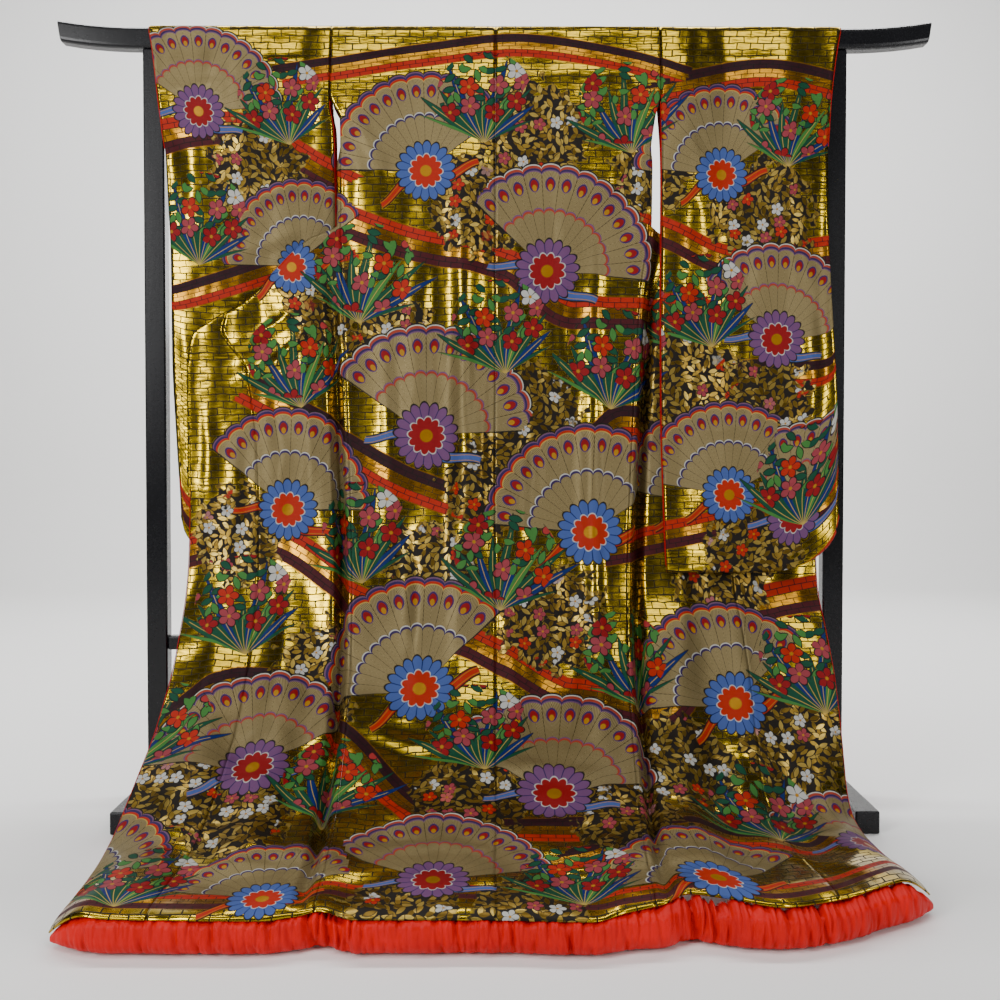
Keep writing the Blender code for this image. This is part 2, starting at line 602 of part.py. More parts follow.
def make_stand(lacquer):
    make_bar("stand_bar", lacquer)
    for side, word in ((LEFT, "left"), (RIGHT, "right")):
        x = side * POST_X
        rounded_box(
            f"stand_post_{word}",
            (x - POST_WIDTH / 2, -POST_DEPTH / 2, FOOT_HEIGHT + SEAM),
            (x + POST_WIDTH / 2, POST_DEPTH / 2, BAR_TOP - BAR_HEIGHT - SEAM),
            lacquer,
        )
        rounded_box(
            f"stand_foot_{word}",
            (x - FOOT_WIDTH / 2, -FOOT_LENGTH / 2, 0.0),
            (x + FOOT_WIDTH / 2, FOOT_LENGTH / 2, FOOT_HEIGHT),
            lacquer,
        )
    reach = POST_X - POST_WIDTH / 2 - SEAM
    rounded_box(
        "stand_rail",
        (-reach, -RAIL_SIZE / 2, RAIL_HEIGHT - RAIL_SIZE / 2),
        (reach, RAIL_SIZE / 2, RAIL_HEIGHT + RAIL_SIZE / 2),
        lacquer,
    )


def painted(name, colour, roughness, metallic):
    material = bpy.data.materials.new(name)
    material.use_nodes = True
    shader = next(n for n in material.node_tree.nodes if n.type == "BSDF_PRINCIPLED")
    shader.inputs["Base Color"].default_value = (*colour, 1.0)
    shader.inputs["Roughness"].default_value = roughness
    shader.inputs["Metallic"].default_value = metallic
    return material


def main():
    for obj in list(bpy.data.objects):
        bpy.data.objects.remove(obj, do_unlink=True)
    lacquer = painted("black lacquer", (0.012, 0.012, 0.014), 0.25, 0.0)
    make_stand(lacquer)
    for side, word in ((LEFT, "left"), (RIGHT, "right")):
        gold = painted(f"gold brocade {word}", (0.55, 0.42, 0.10), 0.35, 0.8)
        make_back(side, f"back_{word}", gold)
        make_front(side, f"front_{word}", gold)
        make_okumi(side, f"okumi_{word}", gold)
        make_side_collar(side, f"collar_{word}", gold)
        make_sleeve(side, f"sleeve_{word}", gold)
    make_neck_collar("collar_neck", painted("gold brocade collar", (0.55, 0.42, 0.10), 0.35, 0.8))
    make_hem_roll("hem_roll", painted("vermilion silk", (0.75, 0.03, 0.01), 0.5, 0.0))


main()
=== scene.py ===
"""A gold brocade uchikake, the padded over-robe of a bride, hung by its sleeves on a lacquered stand.

Laid out as an add-on and run as a script. Each panel of cloth starts as a flat grid of the size it is
cut to, which is then hung: its points move to where that length and place of cloth hang on the bar,
spread at the sides and sweep over the floor. Metres, +Z up, the back of the robe faces -Y.
"""

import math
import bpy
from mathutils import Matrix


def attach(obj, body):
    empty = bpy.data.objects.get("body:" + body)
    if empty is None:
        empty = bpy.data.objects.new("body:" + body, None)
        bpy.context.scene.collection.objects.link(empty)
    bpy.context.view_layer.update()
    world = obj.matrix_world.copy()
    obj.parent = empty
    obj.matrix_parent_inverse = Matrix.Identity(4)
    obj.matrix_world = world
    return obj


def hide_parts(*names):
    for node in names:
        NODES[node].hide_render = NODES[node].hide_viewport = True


bl_info = {
    "name": "Uchikake on a Stand",
    "version": (1, 0, 0),
    "blender": (4, 5, 0),
    "location": "3D View > Sidebar > Uchikake",
    "description": "Builds a hanging gold brocade wedding robe, its padded hem and its lacquered stand",
    "category": "Object",
}

import bpy
import numpy as np
from bpy.props import FloatProperty, FloatVectorProperty, IntProperty, PointerProperty

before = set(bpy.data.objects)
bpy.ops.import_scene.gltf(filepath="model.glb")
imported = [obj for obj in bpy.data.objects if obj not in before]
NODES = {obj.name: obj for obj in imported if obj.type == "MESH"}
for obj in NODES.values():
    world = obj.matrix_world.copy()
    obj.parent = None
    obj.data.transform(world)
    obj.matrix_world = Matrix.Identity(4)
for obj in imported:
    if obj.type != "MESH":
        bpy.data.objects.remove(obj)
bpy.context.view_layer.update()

# The garment and how it hangs: lengths are measured on the cloth from the shoulder
BAR_Y = 0.2377
WALL = 0.0022
SEAM = 0.0003
LENGTH = 1.800
NECK_HALF = 0.090
COLLAR_WIDTH = 0.070
COLLAR_MITRE = 0.075
COLLAR_END = 0.880
SIDE_OPEN = 0.190
SIDE_JOIN = 0.290
SLEEVE_CORNER_WIDE = 0.140
SLEEVE_CORNER_HIGH = 0.100
CUFF_OPEN = 0.215
CUFF_CLOSED = 0.265
FOLD_BULGE = 0.0065
PLEAT_START = 0.004
PLEAT_WIDE = 0.034
WING_WAVE_HIGH = 0.005
WING_WAVE_LONG = 0.130
TURNED_WAVE_HIGH = 0.021
TURNED_WAVE_LONG = 0.072
WRAP_END = 0.0265
WRAP_DROP = 1.4965

# What each piece is cut to, flat: wide, long, and the area of cuts that aren't rectangles
BACK_CUT = (0.3127, LENGTH)
NECK_CUT, NECK_AREA = (0.18, COLLAR_MITRE), 0.0086
SLEEVE_CUT, SLEEVE_AREA = (0.34, 2.105), 0.70
SLEEVE_INNER = 0.3133
SLEEVE_STRAIGHT = 1.047
SLEEVE_TUCK = 0.005
OKUMI_TOP = 0.306
FIRST_ROW = 0.0003
MERGE = 0.00002

# The padded hem roll
HEM_STRIP = 0.185
HEM_AROUND = 44
ROLL_DEEP = 0.030
ROLL_CLEAR = 0.0028
ROLL_TIP_LONG = 0.060

LEFT, RIGHT = -1, 1
SIDES = ((LEFT, "left"), (RIGHT, "right"))
TURN_STEPS = 59

# Side profiles of the hanging cloth, from the top of the bar to the hem: (y, z)
OVER_THE_BAR = ((0.0, 1.4805), (-0.010, 1.4805), (-0.0174, 1.4774), (-0.0205, 1.470), (-0.0218, 1.445))
CENTRE_SECTION = OVER_THE_BAR + (
    (-0.030, 1.380), (-0.045, 1.200), (-0.060, 0.900), (-0.075, 0.600), (-0.099, 0.430),
    (-0.130, 0.335), (-0.185, 0.245), (-0.260, 0.175), (-0.370, 0.110), (-0.490, 0.075),
    (-0.590, 0.0625), (-0.640, 0.0595), (-0.665, 0.0580), (-0.683, 0.0505),
)
LEFT_SECTION = OVER_THE_BAR + (
    (-0.030, 1.380), (-0.043, 1.200), (-0.046, 0.900), (-0.044, 0.700), (-0.044, 0.560),
    (-0.052, 0.470), (-0.068, 0.409), (-0.104, 0.345), (-0.153, 0.275), (-0.200, 0.231),
    (-0.251, 0.190), (-0.334, 0.145), (-0.406, 0.108), (-0.451, 0.085), (-0.520, 0.066),
    (-0.600, 0.060), (-0.640, 0.0590), (-0.665, 0.0565), (-0.683, 0.0505),
)
RIGHT_SECTION = OVER_THE_BAR + (
    (-0.030, 1.380), (-0.043, 1.200), (-0.044, 0.900), (-0.046, 0.700), (-0.050, 0.520),
    (-0.058, 0.420), (-0.090, 0.350), (-0.140, 0.265), (-0.168, 0.200), (-0.198, 0.130),
    (-0.225, 0.075), (-0.262, 0.048), (-0.320, 0.041), (-0.400, 0.045), (-0.470, 0.053),
    (-0.520, 0.059), (-0.560, 0.061), (-0.590, 0.0585),
)

# Where the side seam hangs: (length from the shoulder, left x, right x)
SIDE_SEAM = (
    (0.000, 0.3127, 0.3127), (0.150, 0.3127, 0.3127), (0.162, 0.3085, 0.3105), (0.195, 0.2935, 0.3020),
    (0.280, 0.2920, 0.2915), (0.390, 0.2915, 0.2890), (0.520, 0.2870, 0.2730), (0.790, 0.2760, 0.2570),
    (1.030, 0.2660, 0.2460), (1.300, 0.2580, 0.2380), (1.500, 0.2520, 0.2300), (1.800, 0.2440, 0.2150),
)
# How far the front panel spreads past the side seam: (length from the shoulder, left, right)
WING_SPREAD = (
    (0.000, 0.000, 0.000), (0.395, 0.000, 0.000), (0.420, 0.056, 0.050), (0.480, 0.124, 0.150),
    (0.527, 0.171, 0.232), (0.563, 0.238, 0.285), (0.595, 0.283, 0.318), (0.650, 0.294, 0.338),
    (0.800, 0.301, 0.351), (1.000, 0.311, 0.366), (1.200, 0.320, 0.376), (1.500, 0.334, 0.385),
    (1.650, 0.346, 0.400), (1.800, 0.356, 0.412),
)
# Cloth folded back behind the spread front: (length from the shoulder, its width)
TURNED_BACK = (
    (0.000, 0.223), (0.100, 0.223), (0.200, 0.232), (0.300, 0.248), (0.390, 0.240), (0.450, 0.190),
    (0.500, 0.140), (0.550, 0.090), (0.600, 0.045), (0.660, 0.000), (1.800, 0.000),
)
# How deep the folded-back layer hangs behind the back panel: (length, left, right)
TURNED_DEPTH = (
    (0.000, 0.0410, 0.0410), (0.0265, 0.0410, 0.0410), (0.050, 0.0440, 0.0440), (0.100, 0.0515, 0.0515),
    (0.200, 0.0460, 0.0480), (0.300, 0.0330, 0.0400), (0.390, 0.0225, 0.0370), (0.420, 0.0190, 0.0360),
    (0.500, 0.0155, 0.0350), (0.900, 0.0150, 0.0385), (1.050, 0.0150, 0.0385), (1.800, 0.0150, 0.0150),
)
# How deep the spread front lies, and its pleat beside the side seam: (length, left, right, pleat)
WING_DEPTH = (
    (0.000, 0.000, 0.018, 0.000), (0.420, 0.000, 0.018, 0.000), (0.600, 0.000, 0.018, 0.020),
    (0.900, 0.000, 0.026, 0.027), (1.030, 0.000, 0.027, 0.028), (1.150, 0.000, 0.010, 0.028),
    (1.350, 0.000, 0.002, 0.026), (1.600, 0.000, 0.000, 0.018), (1.800, 0.000, 0.000, 0.004),
)
# Cut widths: (length from the shoulder, front panel, okumi panel)
CUT_WIDTHS = (
    (0.000, 0.223, 0.000), (0.280, 0.250, 0.000), (0.300, 0.250, 0.006), (0.850, 0.250, 0.155),
    (1.800, 0.250, 0.155),
)
# Upright folds of the back: (x at the top, x at the hem, width, height, from, to)
BACK_FOLDS = (
    (-0.045, -0.060, 0.030, 0.008, 0.12, 1.60),
    (0.170, 0.185, 0.026, 0.008, 0.20, 1.62),
    (-0.165, -0.175, 0.034, -0.006, 0.25, 1.60),
    (0.075, 0.090, 0.036, -0.006, 0.30, 1.60),
)
# Hanging places of the sleeves: (length, y of the near layer, y of the far layer,
# x of the open inner edge, x of the outer edge near, x of the outer edge far)
LEFT_SLEEVE = (
    (0.0265, -0.0205, 0.0205, 0.3133, 0.6570, 0.6570), (0.050, -0.0225, 0.0218, 0.3133, 0.6520, 0.6420),
    (0.100, -0.0300, 0.0215, 0.3133, 0.6440, 0.6220), (0.172, -0.0350, 0.0110, 0.3133, 0.6350, 0.6220),
    (0.215, -0.0340, 0.0060, 0.3065, 0.6300, 0.6220), (0.265, -0.0310, 0.0020, 0.3050, 0.6280, 0.6280),
    (0.350, -0.0230, -0.0015, 0.3050, 0.6250, 0.6250), (0.450, -0.0155, -0.0030, 0.3050, 0.6215, 0.6215),
    (0.640, -0.0130, -0.0030, 0.3060, 0.6205, 0.6205), (0.810, -0.0130, -0.0030, 0.3080, 0.6130, 0.6130),
    (0.930, -0.0130, -0.0035, 0.3100, 0.6060, 0.6060), (1.0535, -0.0120, -0.0045, 0.3120, 0.6020, 0.6020),
)
RIGHT_SLEEVE = (
    (0.0265, -0.0205, 0.0205, 0.3133, 0.6570, 0.6570), (0.050, -0.0225, 0.0218, 0.3133, 0.6520, 0.6420),
    (0.100, -0.0300, 0.0215, 0.3133, 0.6430, 0.6220), (0.155, -0.0345, 0.0135, 0.3133, 0.6360, 0.6220),
    (0.200, -0.0385, -0.0060, 0.3135, 0.6320, 0.6220), (0.265, -0.0460, -0.0300, 0.3135, 0.6285, 0.6285),
    (0.400, -0.0570, -0.0450, 0.3120, 0.6270, 0.6270), (0.510, -0.0610, -0.0495, 0.3110, 0.6310, 0.6310),
    (0.750, -0.0680, -0.0575, 0.3115, 0.6425, 0.6425), (0.940, -0.0760, -0.0670, 0.3160, 0.6435, 0.6435),
    (1.0535, -0.0810, -0.0745, 0.3205, 0.6430, 0.6430),
)
# Course of the hem roll over the floor: (x, y of its middle, half its height, angle of the hem seam)
HEM_COURSE = (
    (-0.600, -0.647, 0.0270, 55.0), (-0.570, -0.650, 0.0275, 55.0), (-0.510, -0.659, 0.0275, 52.0),
    (-0.310, -0.662, 0.0275, 50.0), (-0.261, -0.648, 0.0270, 55.0), (-0.237, -0.640, 0.0270, 58.0),
    (-0.188, -0.661, 0.0275, 52.0), (-0.012, -0.660, 0.0275, 50.0), (0.128, -0.667, 0.0275, 50.0),
    (0.180, -0.652, 0.0280, 62.0), (0.225, -0.647, 0.0290, 75.0), (0.264, -0.624, 0.0300, 85.0),
    (0.308, -0.641, 0.0310, 85.0), (0.381, -0.652, 0.0290, 72.0), (0.467, -0.632, 0.0280, 80.0),
    (0.553, -0.584, 0.0275, 85.0), (0.632, -0.548, 0.0270, 85.0),
)


def smooth(value):
    """0 to 1 with a soft start and end."""
    value = np.clip(value, 0.0, 1.0)
    return value * value * (3 - 2 * value)


def read(table, at, column=1):
    """One column of a table read between its rows on a smooth curve that never overshoots."""
    rows = np.array(table, float)
    knots, values = rows[:, 0], rows[:, column]
    steps = np.diff(knots)
    slopes = np.diff(values) / steps
    before, after = slopes[:-1], slopes[1:]
    same_way = before * after > 0
    total = np.where(same_way, before + after, 1.0)
    lean = np.concatenate([[slopes[0]], np.where(same_way, 2 * before * after / total, 0.0), [slopes[-1]]])
    at = np.clip(at, knots[0], knots[-1])
    i = np.clip(np.searchsorted(knots, at, side="right") - 1, 0, len(steps) - 1)
    u = (at - knots[i]) / steps[i]
    return (
        values[i] * (1 + 2 * u) * (1 - u) ** 2
        + values[i + 1] * u * u * (3 - 2 * u)
        + steps[i] * (lean[i] * u * (1 - u) ** 2 - lean[i + 1] * u * u * (1 - u))
    )


def by_side(side):
    """The column of a table with a left and a right value."""
    return 1 if side == LEFT else 2


class Section:
    """A side profile read by the length of cloth from the shoulder."""

    def __init__(self, points):
        points = np.array(points, float)
        chord = np.concatenate([[0.0], np.cumsum(np.hypot(*np.diff(points, axis=0).T))])
        fine = np.linspace(0.0, chord[-1], 2400)
        self.y = read(np.column_stack([chord, points[:, 0]]), fine)
        self.z = read(np.column_stack([chord, points[:, 1]]), fine)
        self.run = np.concatenate([[0.0], np.cumsum(np.hypot(np.diff(self.y), np.diff(self.z)))])

    def at(self, length):
        run = np.clip(length / LENGTH, 0.0, 1.0) * self.run[-1]
        return np.interp(run, self.run, self.y), np.interp(run, self.run, self.z)


SECTIONS = {0: Section(CENTRE_SECTION), LEFT: Section(LEFT_SECTION), RIGHT: Section(RIGHT_SECTION)}


def roll_taper(x):
    """How full the hem roll is: 1 along it and small at its pointed ends."""
    first, last = HEM_COURSE[0][0], HEM_COURSE[-1][0]
    inside = np.minimum(x - first, last - x) / ROLL_TIP_LONG
    return 0.16 + 0.84 * np.sqrt(smooth(inside + 0.02))


def roll_section(x):
    """Middle y and z of the hem roll and its half depth and half height."""
    full = roll_taper(x)
    high = read(HEM_COURSE, x, 2) * full
    return read(HEM_COURSE, x), high + 0.010 * (1 - full), ROLL_DEEP * full, high


def roll_clearance(x):
    """How far the middle of the cloth lies off the roll, a little more over its pointed ends."""
    inside = np.minimum(x - HEM_COURSE[0][0], HEM_COURSE[-1][0] - x)
    return ROLL_CLEAR + 0.004 * smooth(1 - inside / 0.10)


def hem_seam(x):
    """Where the cloth ends on the roll."""
    y, z, deep, high = roll_section(x)
    angle = np.radians(read(HEM_COURSE, x, 3))
    clear = roll_clearance(x)
    return y - (deep + clear) * np.cos(angle), z + (high + clear) * np.sin(angle)


def back_folds(length, x):
    """Height of the upright folds of the back."""
    height = np.zeros_like(x)
    for top, hem, wide, high, start, end in BACK_FOLDS:
        middle = top + (hem - top) * length / LENGTH
        grown = smooth((length - start) / 0.35) * smooth((end - length) / 0.30)
        height = height + high * grown * np.exp(-(((x - middle) / wide) ** 2))
    return height


def hang(length, x, depth):
    """The point of the cloth at a length from the shoulder and a place across, depth behind its face."""
    x = np.asarray(x, float)
    outward = smooth((np.abs(x) - 0.16) / 0.44)
    ahead, behind = min(length + 0.004, LENGTH), max(length - 0.004, 0.0)
    places = []
    for at in (length, ahead, behind):
        middle, left, right = (SECTIONS[key].at(at) for key in (0, LEFT, RIGHT))
        side = [np.where(x < 0, left[i], right[i]) for i in (0, 1)]
        places.append([middle[i] + outward * (side[i] - middle[i]) for i in (0, 1)])
    y, z = places[0]
    run_y, run_z = places[1][0] - places[2][0], places[1][1] - places[2][1]
    long = np.hypot(run_y, run_z)
    out_y, out_z = run_z / long, -run_y / long
    seam_y, seam_z = hem_seam(x)
    middle, left, right = (SECTIONS[key].at(LENGTH) for key in (0, LEFT, RIGHT))
    end_y, end_z = (
        middle[i] + outward * (np.where(x < 0, left[i], right[i]) - middle[i]) for i in (0, 1))
    pulled = smooth((length - 1.30) / (LENGTH - 1.30))
    y = y + pulled * (seam_y - end_y)
    z = z + pulled * (seam_z - end_z)
    lift = back_folds(length, x) - depth
    y, z = y + out_y * lift, z + out_z * lift
    roll_y, roll_z, deep, high = roll_section(x)
    deep, high = deep + roll_clearance(x), high + roll_clearance(x)
    inside = np.hypot((y - roll_y) / deep, (z - roll_z) / high)
    push = np.where(inside < 1.0, 1.0 / np.maximum(inside, 0.2), 1.0)
    y, z = roll_y + (y - roll_y) * push, roll_z + (z - roll_z) * push
    return np.stack([x, y, np.maximum(z, 0.004)], axis=-1)


def front_course(side, length):
    """The course of the front across one row, seen from above: x outwards, depth, and run along it."""
    seam_x = read(SIDE_SEAM, length, by_side(side))
    spread = read(WING_SPREAD, length, by_side(side))
    turned = read(TURNED_DEPTH, length, by_side(side))
    lane = read(WING_DEPTH, length, by_side(side)) * smooth(spread / 0.025)
    pleat = read(WING_DEPTH, length, 3) * smooth((spread - 0.05) / 0.10)
    joined = smooth((length - SIDE_OPEN) / (SIDE_JOIN - SIDE_OPEN))
    across = np.linspace(0.0, 1.0, 140)
    first_angle = math.pi * (1 - joined) if spread <= 0 else 0.0
    out = SEAM + across * spread
    wave = WING_WAVE_HIGH * smooth((length - 0.75) / 0.5) * smooth((1.78 - length) / 0.2)
    ripple = wave * np.sin(2 * math.pi * out / WING_WAVE_LONG + side) * smooth((out - 0.045) / 0.05)
    into_pleat = np.clip((out - PLEAT_START) / PLEAT_WIDE, 0, 1)
    out_depth = lane * smooth((out - PLEAT_START) / 0.022) + ripple
    out_depth += pleat * np.sin(math.pi * into_pleat) ** 2
    if spread <= 0:
        out, out_depth = np.array([SEAM + WALL / 2 * min(1.0, 3 * math.sin(first_angle))]), np.array([0.0])
    base = out_depth[-1]
    lane_end = seam_x + out[-1] - FOLD_BULGE * math.sin(first_angle)
    turn = np.linspace(first_angle, math.pi, TURN_STEPS + 1)
    turn_depth = base + (turned - base) * (1 - np.cos(turn)) / 2
    out_depth[-1] = turn_depth[0]
    back_x = np.linspace(0.0, 0.40, 160)
    swell = TURNED_WAVE_HIGH * smooth((length - 0.10) / 0.12) * smooth((0.52 - length) / 0.12)
    window = smooth((0.275 - (lane_end - back_x)) / 0.05)
    back_depth = turned + swell * window * (1 - np.cos(2 * math.pi * back_x / TURNED_WAVE_LONG)) / 2
    x = np.concatenate([seam_x + out, lane_end + FOLD_BULGE * np.sin(turn[1:]), lane_end - back_x[1:]])
    depth = np.concatenate([out_depth, turn_depth[1:], back_depth[1:]])
    run = np.concatenate([[0.0], np.cumsum(np.hypot(np.diff(x), np.diff(depth)))])
    keep = np.concatenate([[True], np.diff(run) > 1e-9])
    lane_run = run[len(out) - 1]
    turn_run = run[len(out) - 1 + TURN_STEPS] - lane_run
    return x[keep], depth[keep], run[keep], lane_run, turn_run


def cut_width(length):
    """Cut width of the front and okumi panels together."""
    return read(CUT_WIDTHS, length) + read(CUT_WIDTHS, length, 2)


def front_run(side, length, across):
    """Run along the course for a place across the cut."""
    lane_run = front_course(side, length)[3]
    wide = cut_width(length)
    edge_run = lane_run + read(TURNED_BACK, length)
    return np.where(across <= wide, across * edge_run / wide, edge_run + across - wide)


def front_place(side, length, across):
    """Points of the front at one length, for places across the cut from the side seam."""
    x, depth, run, _, _ = front_course(side, length)
    at = front_run(side, length, across)
    x, depth = np.interp(at, run, x), np.interp(at, run, depth)
    if length > WRAP_END:
        return hang(length, side * x, depth)
    points = hang(length, side * x, 0.0 * x)
    points[:, 1] *= -1
    return points


def back_place(side, length, across):
    """Points of a back panel at one length, for places from the centre seam to the side seam."""
    edge = read(SIDE_SEAM, length, by_side(side))
    x = SEAM / 2 + np.asarray(across) * (edge - SEAM / 2)
    return hang(length, side * x, 0.0 * x)


def neck_place(side, length, across):
    """Points of the neck collar, on the far side of the bar."""
    half = NECK_HALF - COLLAR_WIDTH * length / COLLAR_MITRE - 2 * SEAM
    x = np.asarray(across) * half
    if length > WRAP_END:
        return hang(length, x, read(TURNED_DEPTH, length) + 0.0 * x)
    points = hang(length, x, 0.0 * x)
    points[:, 1] *= -1
    return points


def sleeve_drop(side, across):
    """How much shorter the sleeve is at a place across, by its round outer corner."""
    table = LEFT_SLEEVE if side == LEFT else RIGHT_SLEEVE
    inner, outer = table[-1][3], table[-1][4]
    x = inner + across * (outer - inner)
    into = np.clip((x - outer + SLEEVE_CORNER_WIDE) / SLEEVE_CORNER_WIDE, 0.0, 1.0)
    return SLEEVE_CORNER_HIGH * (1 - np.sqrt(1 - into * into))


def sleeve_layer(side, layer, length, across):
    """Points of the near (-1) or far (1) layer of a sleeve, across from its open inner edge."""
    table = LEFT_SLEEVE if side == LEFT else RIGHT_SLEEVE
    across = np.asarray(across, float)
    length = np.maximum(0.0, length - sleeve_drop(side, across) * smooth((length - 0.45) / 0.5))
    inner = read(table, length, 3)
    outer = read(table, length, 4 if layer < 0 else 5)
    near, far = read(table, length, 1), read(table, length, 2)
    middle = (near + far) / 2 + layer * (WALL / 2 + SEAM * 0.7)
    closed = smooth((length - CUFF_OPEN) / (CUFF_CLOSED - CUFF_OPEN)) * smooth((across - 0.84) / 0.16)
    bottom = smooth((length + sleeve_drop(side, across) - 1.0) / 0.05) * 0.4
    y = np.where(layer < 0, near, far)
    y = y + (middle - y) * np.maximum(closed, bottom)
    wrap_y, wrap_z = SECTIONS[0].at(length)
    over = length <= WRAP_END
    y = np.where(over, -layer * wrap_y, y)
    z = np.where(over, wrap_z, WRAP_DROP - length)
    x = side * (inner + across * (outer - inner))
    return np.stack([x, y, z], axis=-1)


# The woven picture, placed on the flat cloth: across from the centre back seam, up from the shoulder,
# turn in degrees, size, kind
FANS = (
    (-0.150, -0.235, 18, 0.150, 0), (0.125, -0.420, -24, 0.160, 1), (-0.110, -0.720, -16, 0.165, 1),
    (0.160, -0.900, 14, 0.160, 0), (-0.165, -1.190, 26, 0.165, 0), (0.110, -1.400, -12, 0.165, 1),
    (-0.080, -1.640, -8, 0.140, 1), (0.300, -1.690, 16, 0.145, 0), (-0.400, -0.860, -20, 0.150, 0),
    (-0.450, -1.360, 18, 0.160, 1), (-0.650, -1.620, -14, 0.140, 0), (-0.330, -1.700, 10, 0.125, 0),
    (0.440, -1.220, 22, 0.155, 0), (0.580, -0.900, -14, 0.140, 1), (0.640, -1.560, -22, 0.150, 1),
    (-0.560, -0.130, -16, 0.135, 1), (-0.400, -0.420, 18, 0.130, 0),
    (0.420, -0.250, 14, 0.140, 0), (0.560, -0.560, -20, 0.145, 1), (0.430, -0.850, 10, 0.140, 0),
    (-0.560, 0.190, 166, 0.135, 1), (-0.400, 0.460, 194, 0.140, 0), (-0.550, 0.780, 172, 0.145, 1),
    (0.420, 0.210, 192, 0.135, 0), (0.560, 0.490, 168, 0.145, 1), (0.430, 0.820, 190, 0.140, 0),
)
SPRAYS = (
    (-0.390, 0.180, 174, 0.100, 0), (-0.580, 0.480, 186, 0.100, 1), (-0.400, 0.800, 178, 0.100, 0),
    (0.590, 0.200, 188, 0.100, 1), (0.390, 0.500, 172, 0.100, 0), (0.590, 0.820, 184, 0.100, 1),
    (-0.020, -0.150, 0, 0.097, 0), (0.245, -0.170, 8, 0.097, 1), (-0.245, -0.480, -6, 0.104, 1),
    (0.010, -0.580, 6, 0.097, 0), (0.230, -0.640, -8, 0.104, 0), (-0.260, -0.960, 8, 0.104, 0),
    (0.020, -1.010, -6, 0.104, 1), (0.255, -1.190, 4, 0.104, 1), (-0.030, -1.330, 8, 0.097, 0),
    (-0.280, -1.440, -4, 0.104, 1), (0.120, -1.680, 0, 0.092, 0), (-0.500, -1.090, 6, 0.104, 0),
    (-0.620, -1.330, -8, 0.104, 1), (-0.520, -1.690, 4, 0.092, 0), (0.480, -1.480, -6, 0.109, 0),
    (0.620, -1.200, 6, 0.104, 0), (-0.410, -0.160, 6, 0.092, 0), (-0.580, -0.380, -8, 0.097, 0),
    (-0.400, -0.640, 6, 0.097, 1), (0.580, -0.200, -6, 0.097, 1), (0.400, -0.540, 8, 0.097, 0),
    (0.590, -0.880, -4, 0.104, 0),
)
SHRUBS = (
    (0.070, -0.230, 0, 0.112, 0), (-0.030, -0.360, 0, 0.100, 0), (-0.190, -0.610, 0, 0.088, 0),
    (0.060, -0.760, 0, 0.112, 0), (-0.010, -0.880, 0, 0.094, 0), (-0.120, -1.030, 0, 0.094, 0),
    (0.100, -1.120, 0, 0.106, 0), (-0.040, -1.480, 0, 0.100, 0), (0.220, -1.540, 0, 0.106, 0),
    (-0.330, -1.230, 0, 0.106, 0), (-0.560, -1.480, 0, 0.112, 0), (-0.330, -0.540, 0, 0.094, 0),
    (-0.470, -0.290, 0, 0.100, 0), (0.350, -1.400, 0, 0.106, 0), (0.560, -1.340, 0, 0.112, 0),
    (0.520, -0.380, 0, 0.112, 0), (0.370, -0.690, 0, 0.100, 0), (0.520, -0.740, 0, 0.094, 0),
    (-0.130, -1.780, 0, 0.083, 0), (0.050, -1.770, 0, 0.088, 0), (-0.430, -1.540, 0, 0.094, 0),
    (-0.520, -0.960, 0, 0.094, 0), (0.480, -1.030, 0, 0.100, 0), (0.300, -0.300, 0, 0.083, 0),
)
# Curved woven paths: the points of the middle line, half width, kind
PATHS = (
    (((-0.720, -0.240), (-0.520, -0.215), (-0.330, -0.300)), 0.030, 0),
    (((-0.330, -0.105), (-0.140, -0.075), (0.040, -0.055), (0.250, -0.085), (0.360, -0.118)), 0.022, 1),
    (((-0.330, -0.370), (-0.160, -0.430), (0.020, -0.470), (0.150, -0.560), (0.330, -0.560)), 0.030, 0),
    (((-0.720, -0.560), (-0.520, -0.500), (-0.350, -0.450), (-0.300, -0.440)), 0.026, 1),
    (((-0.300, -0.800), (-0.150, -0.880), (0.050, -0.930), (0.240, -0.760), (0.330, -0.770)), 0.030, 1),
    (((-0.720, -1.020), (-0.480, -0.970), (-0.260, -1.090), (-0.020, -1.180), (0.120, -1.260)), 0.030, 0),
    (((0.120, -1.260), (0.320, -1.300), (0.480, -1.110), (0.720, -1.060)), 0.030, 0),
    (((-0.720, -1.450), (-0.480, -1.240), (-0.280, -1.340), (-0.060, -1.560), (0.100, -1.560)), 0.028, 1),
    (((0.160, -1.620), (0.360, -1.560), (0.520, -1.600), (0.740, -1.400)), 0.028, 1),
    (((-0.720, -1.760), (-0.400, -1.760), (-0.100, -1.730), (0.250, -1.770), (0.740, -1.730)), 0.020, 0),
    (((0.330, -0.140), (0.520, -0.110), (0.720, -0.150)), 0.026, 1),
    (((0.330, -0.420), (0.470, -0.470), (0.720, -0.440)), 0.028, 0),
    (((0.330, -0.790), (0.500, -0.680), (0.720, -0.720)), 0.026, 1),
    (((0.330, -0.980), (0.520, -0.950), (0.720, -0.990)), 0.026, 0),
)

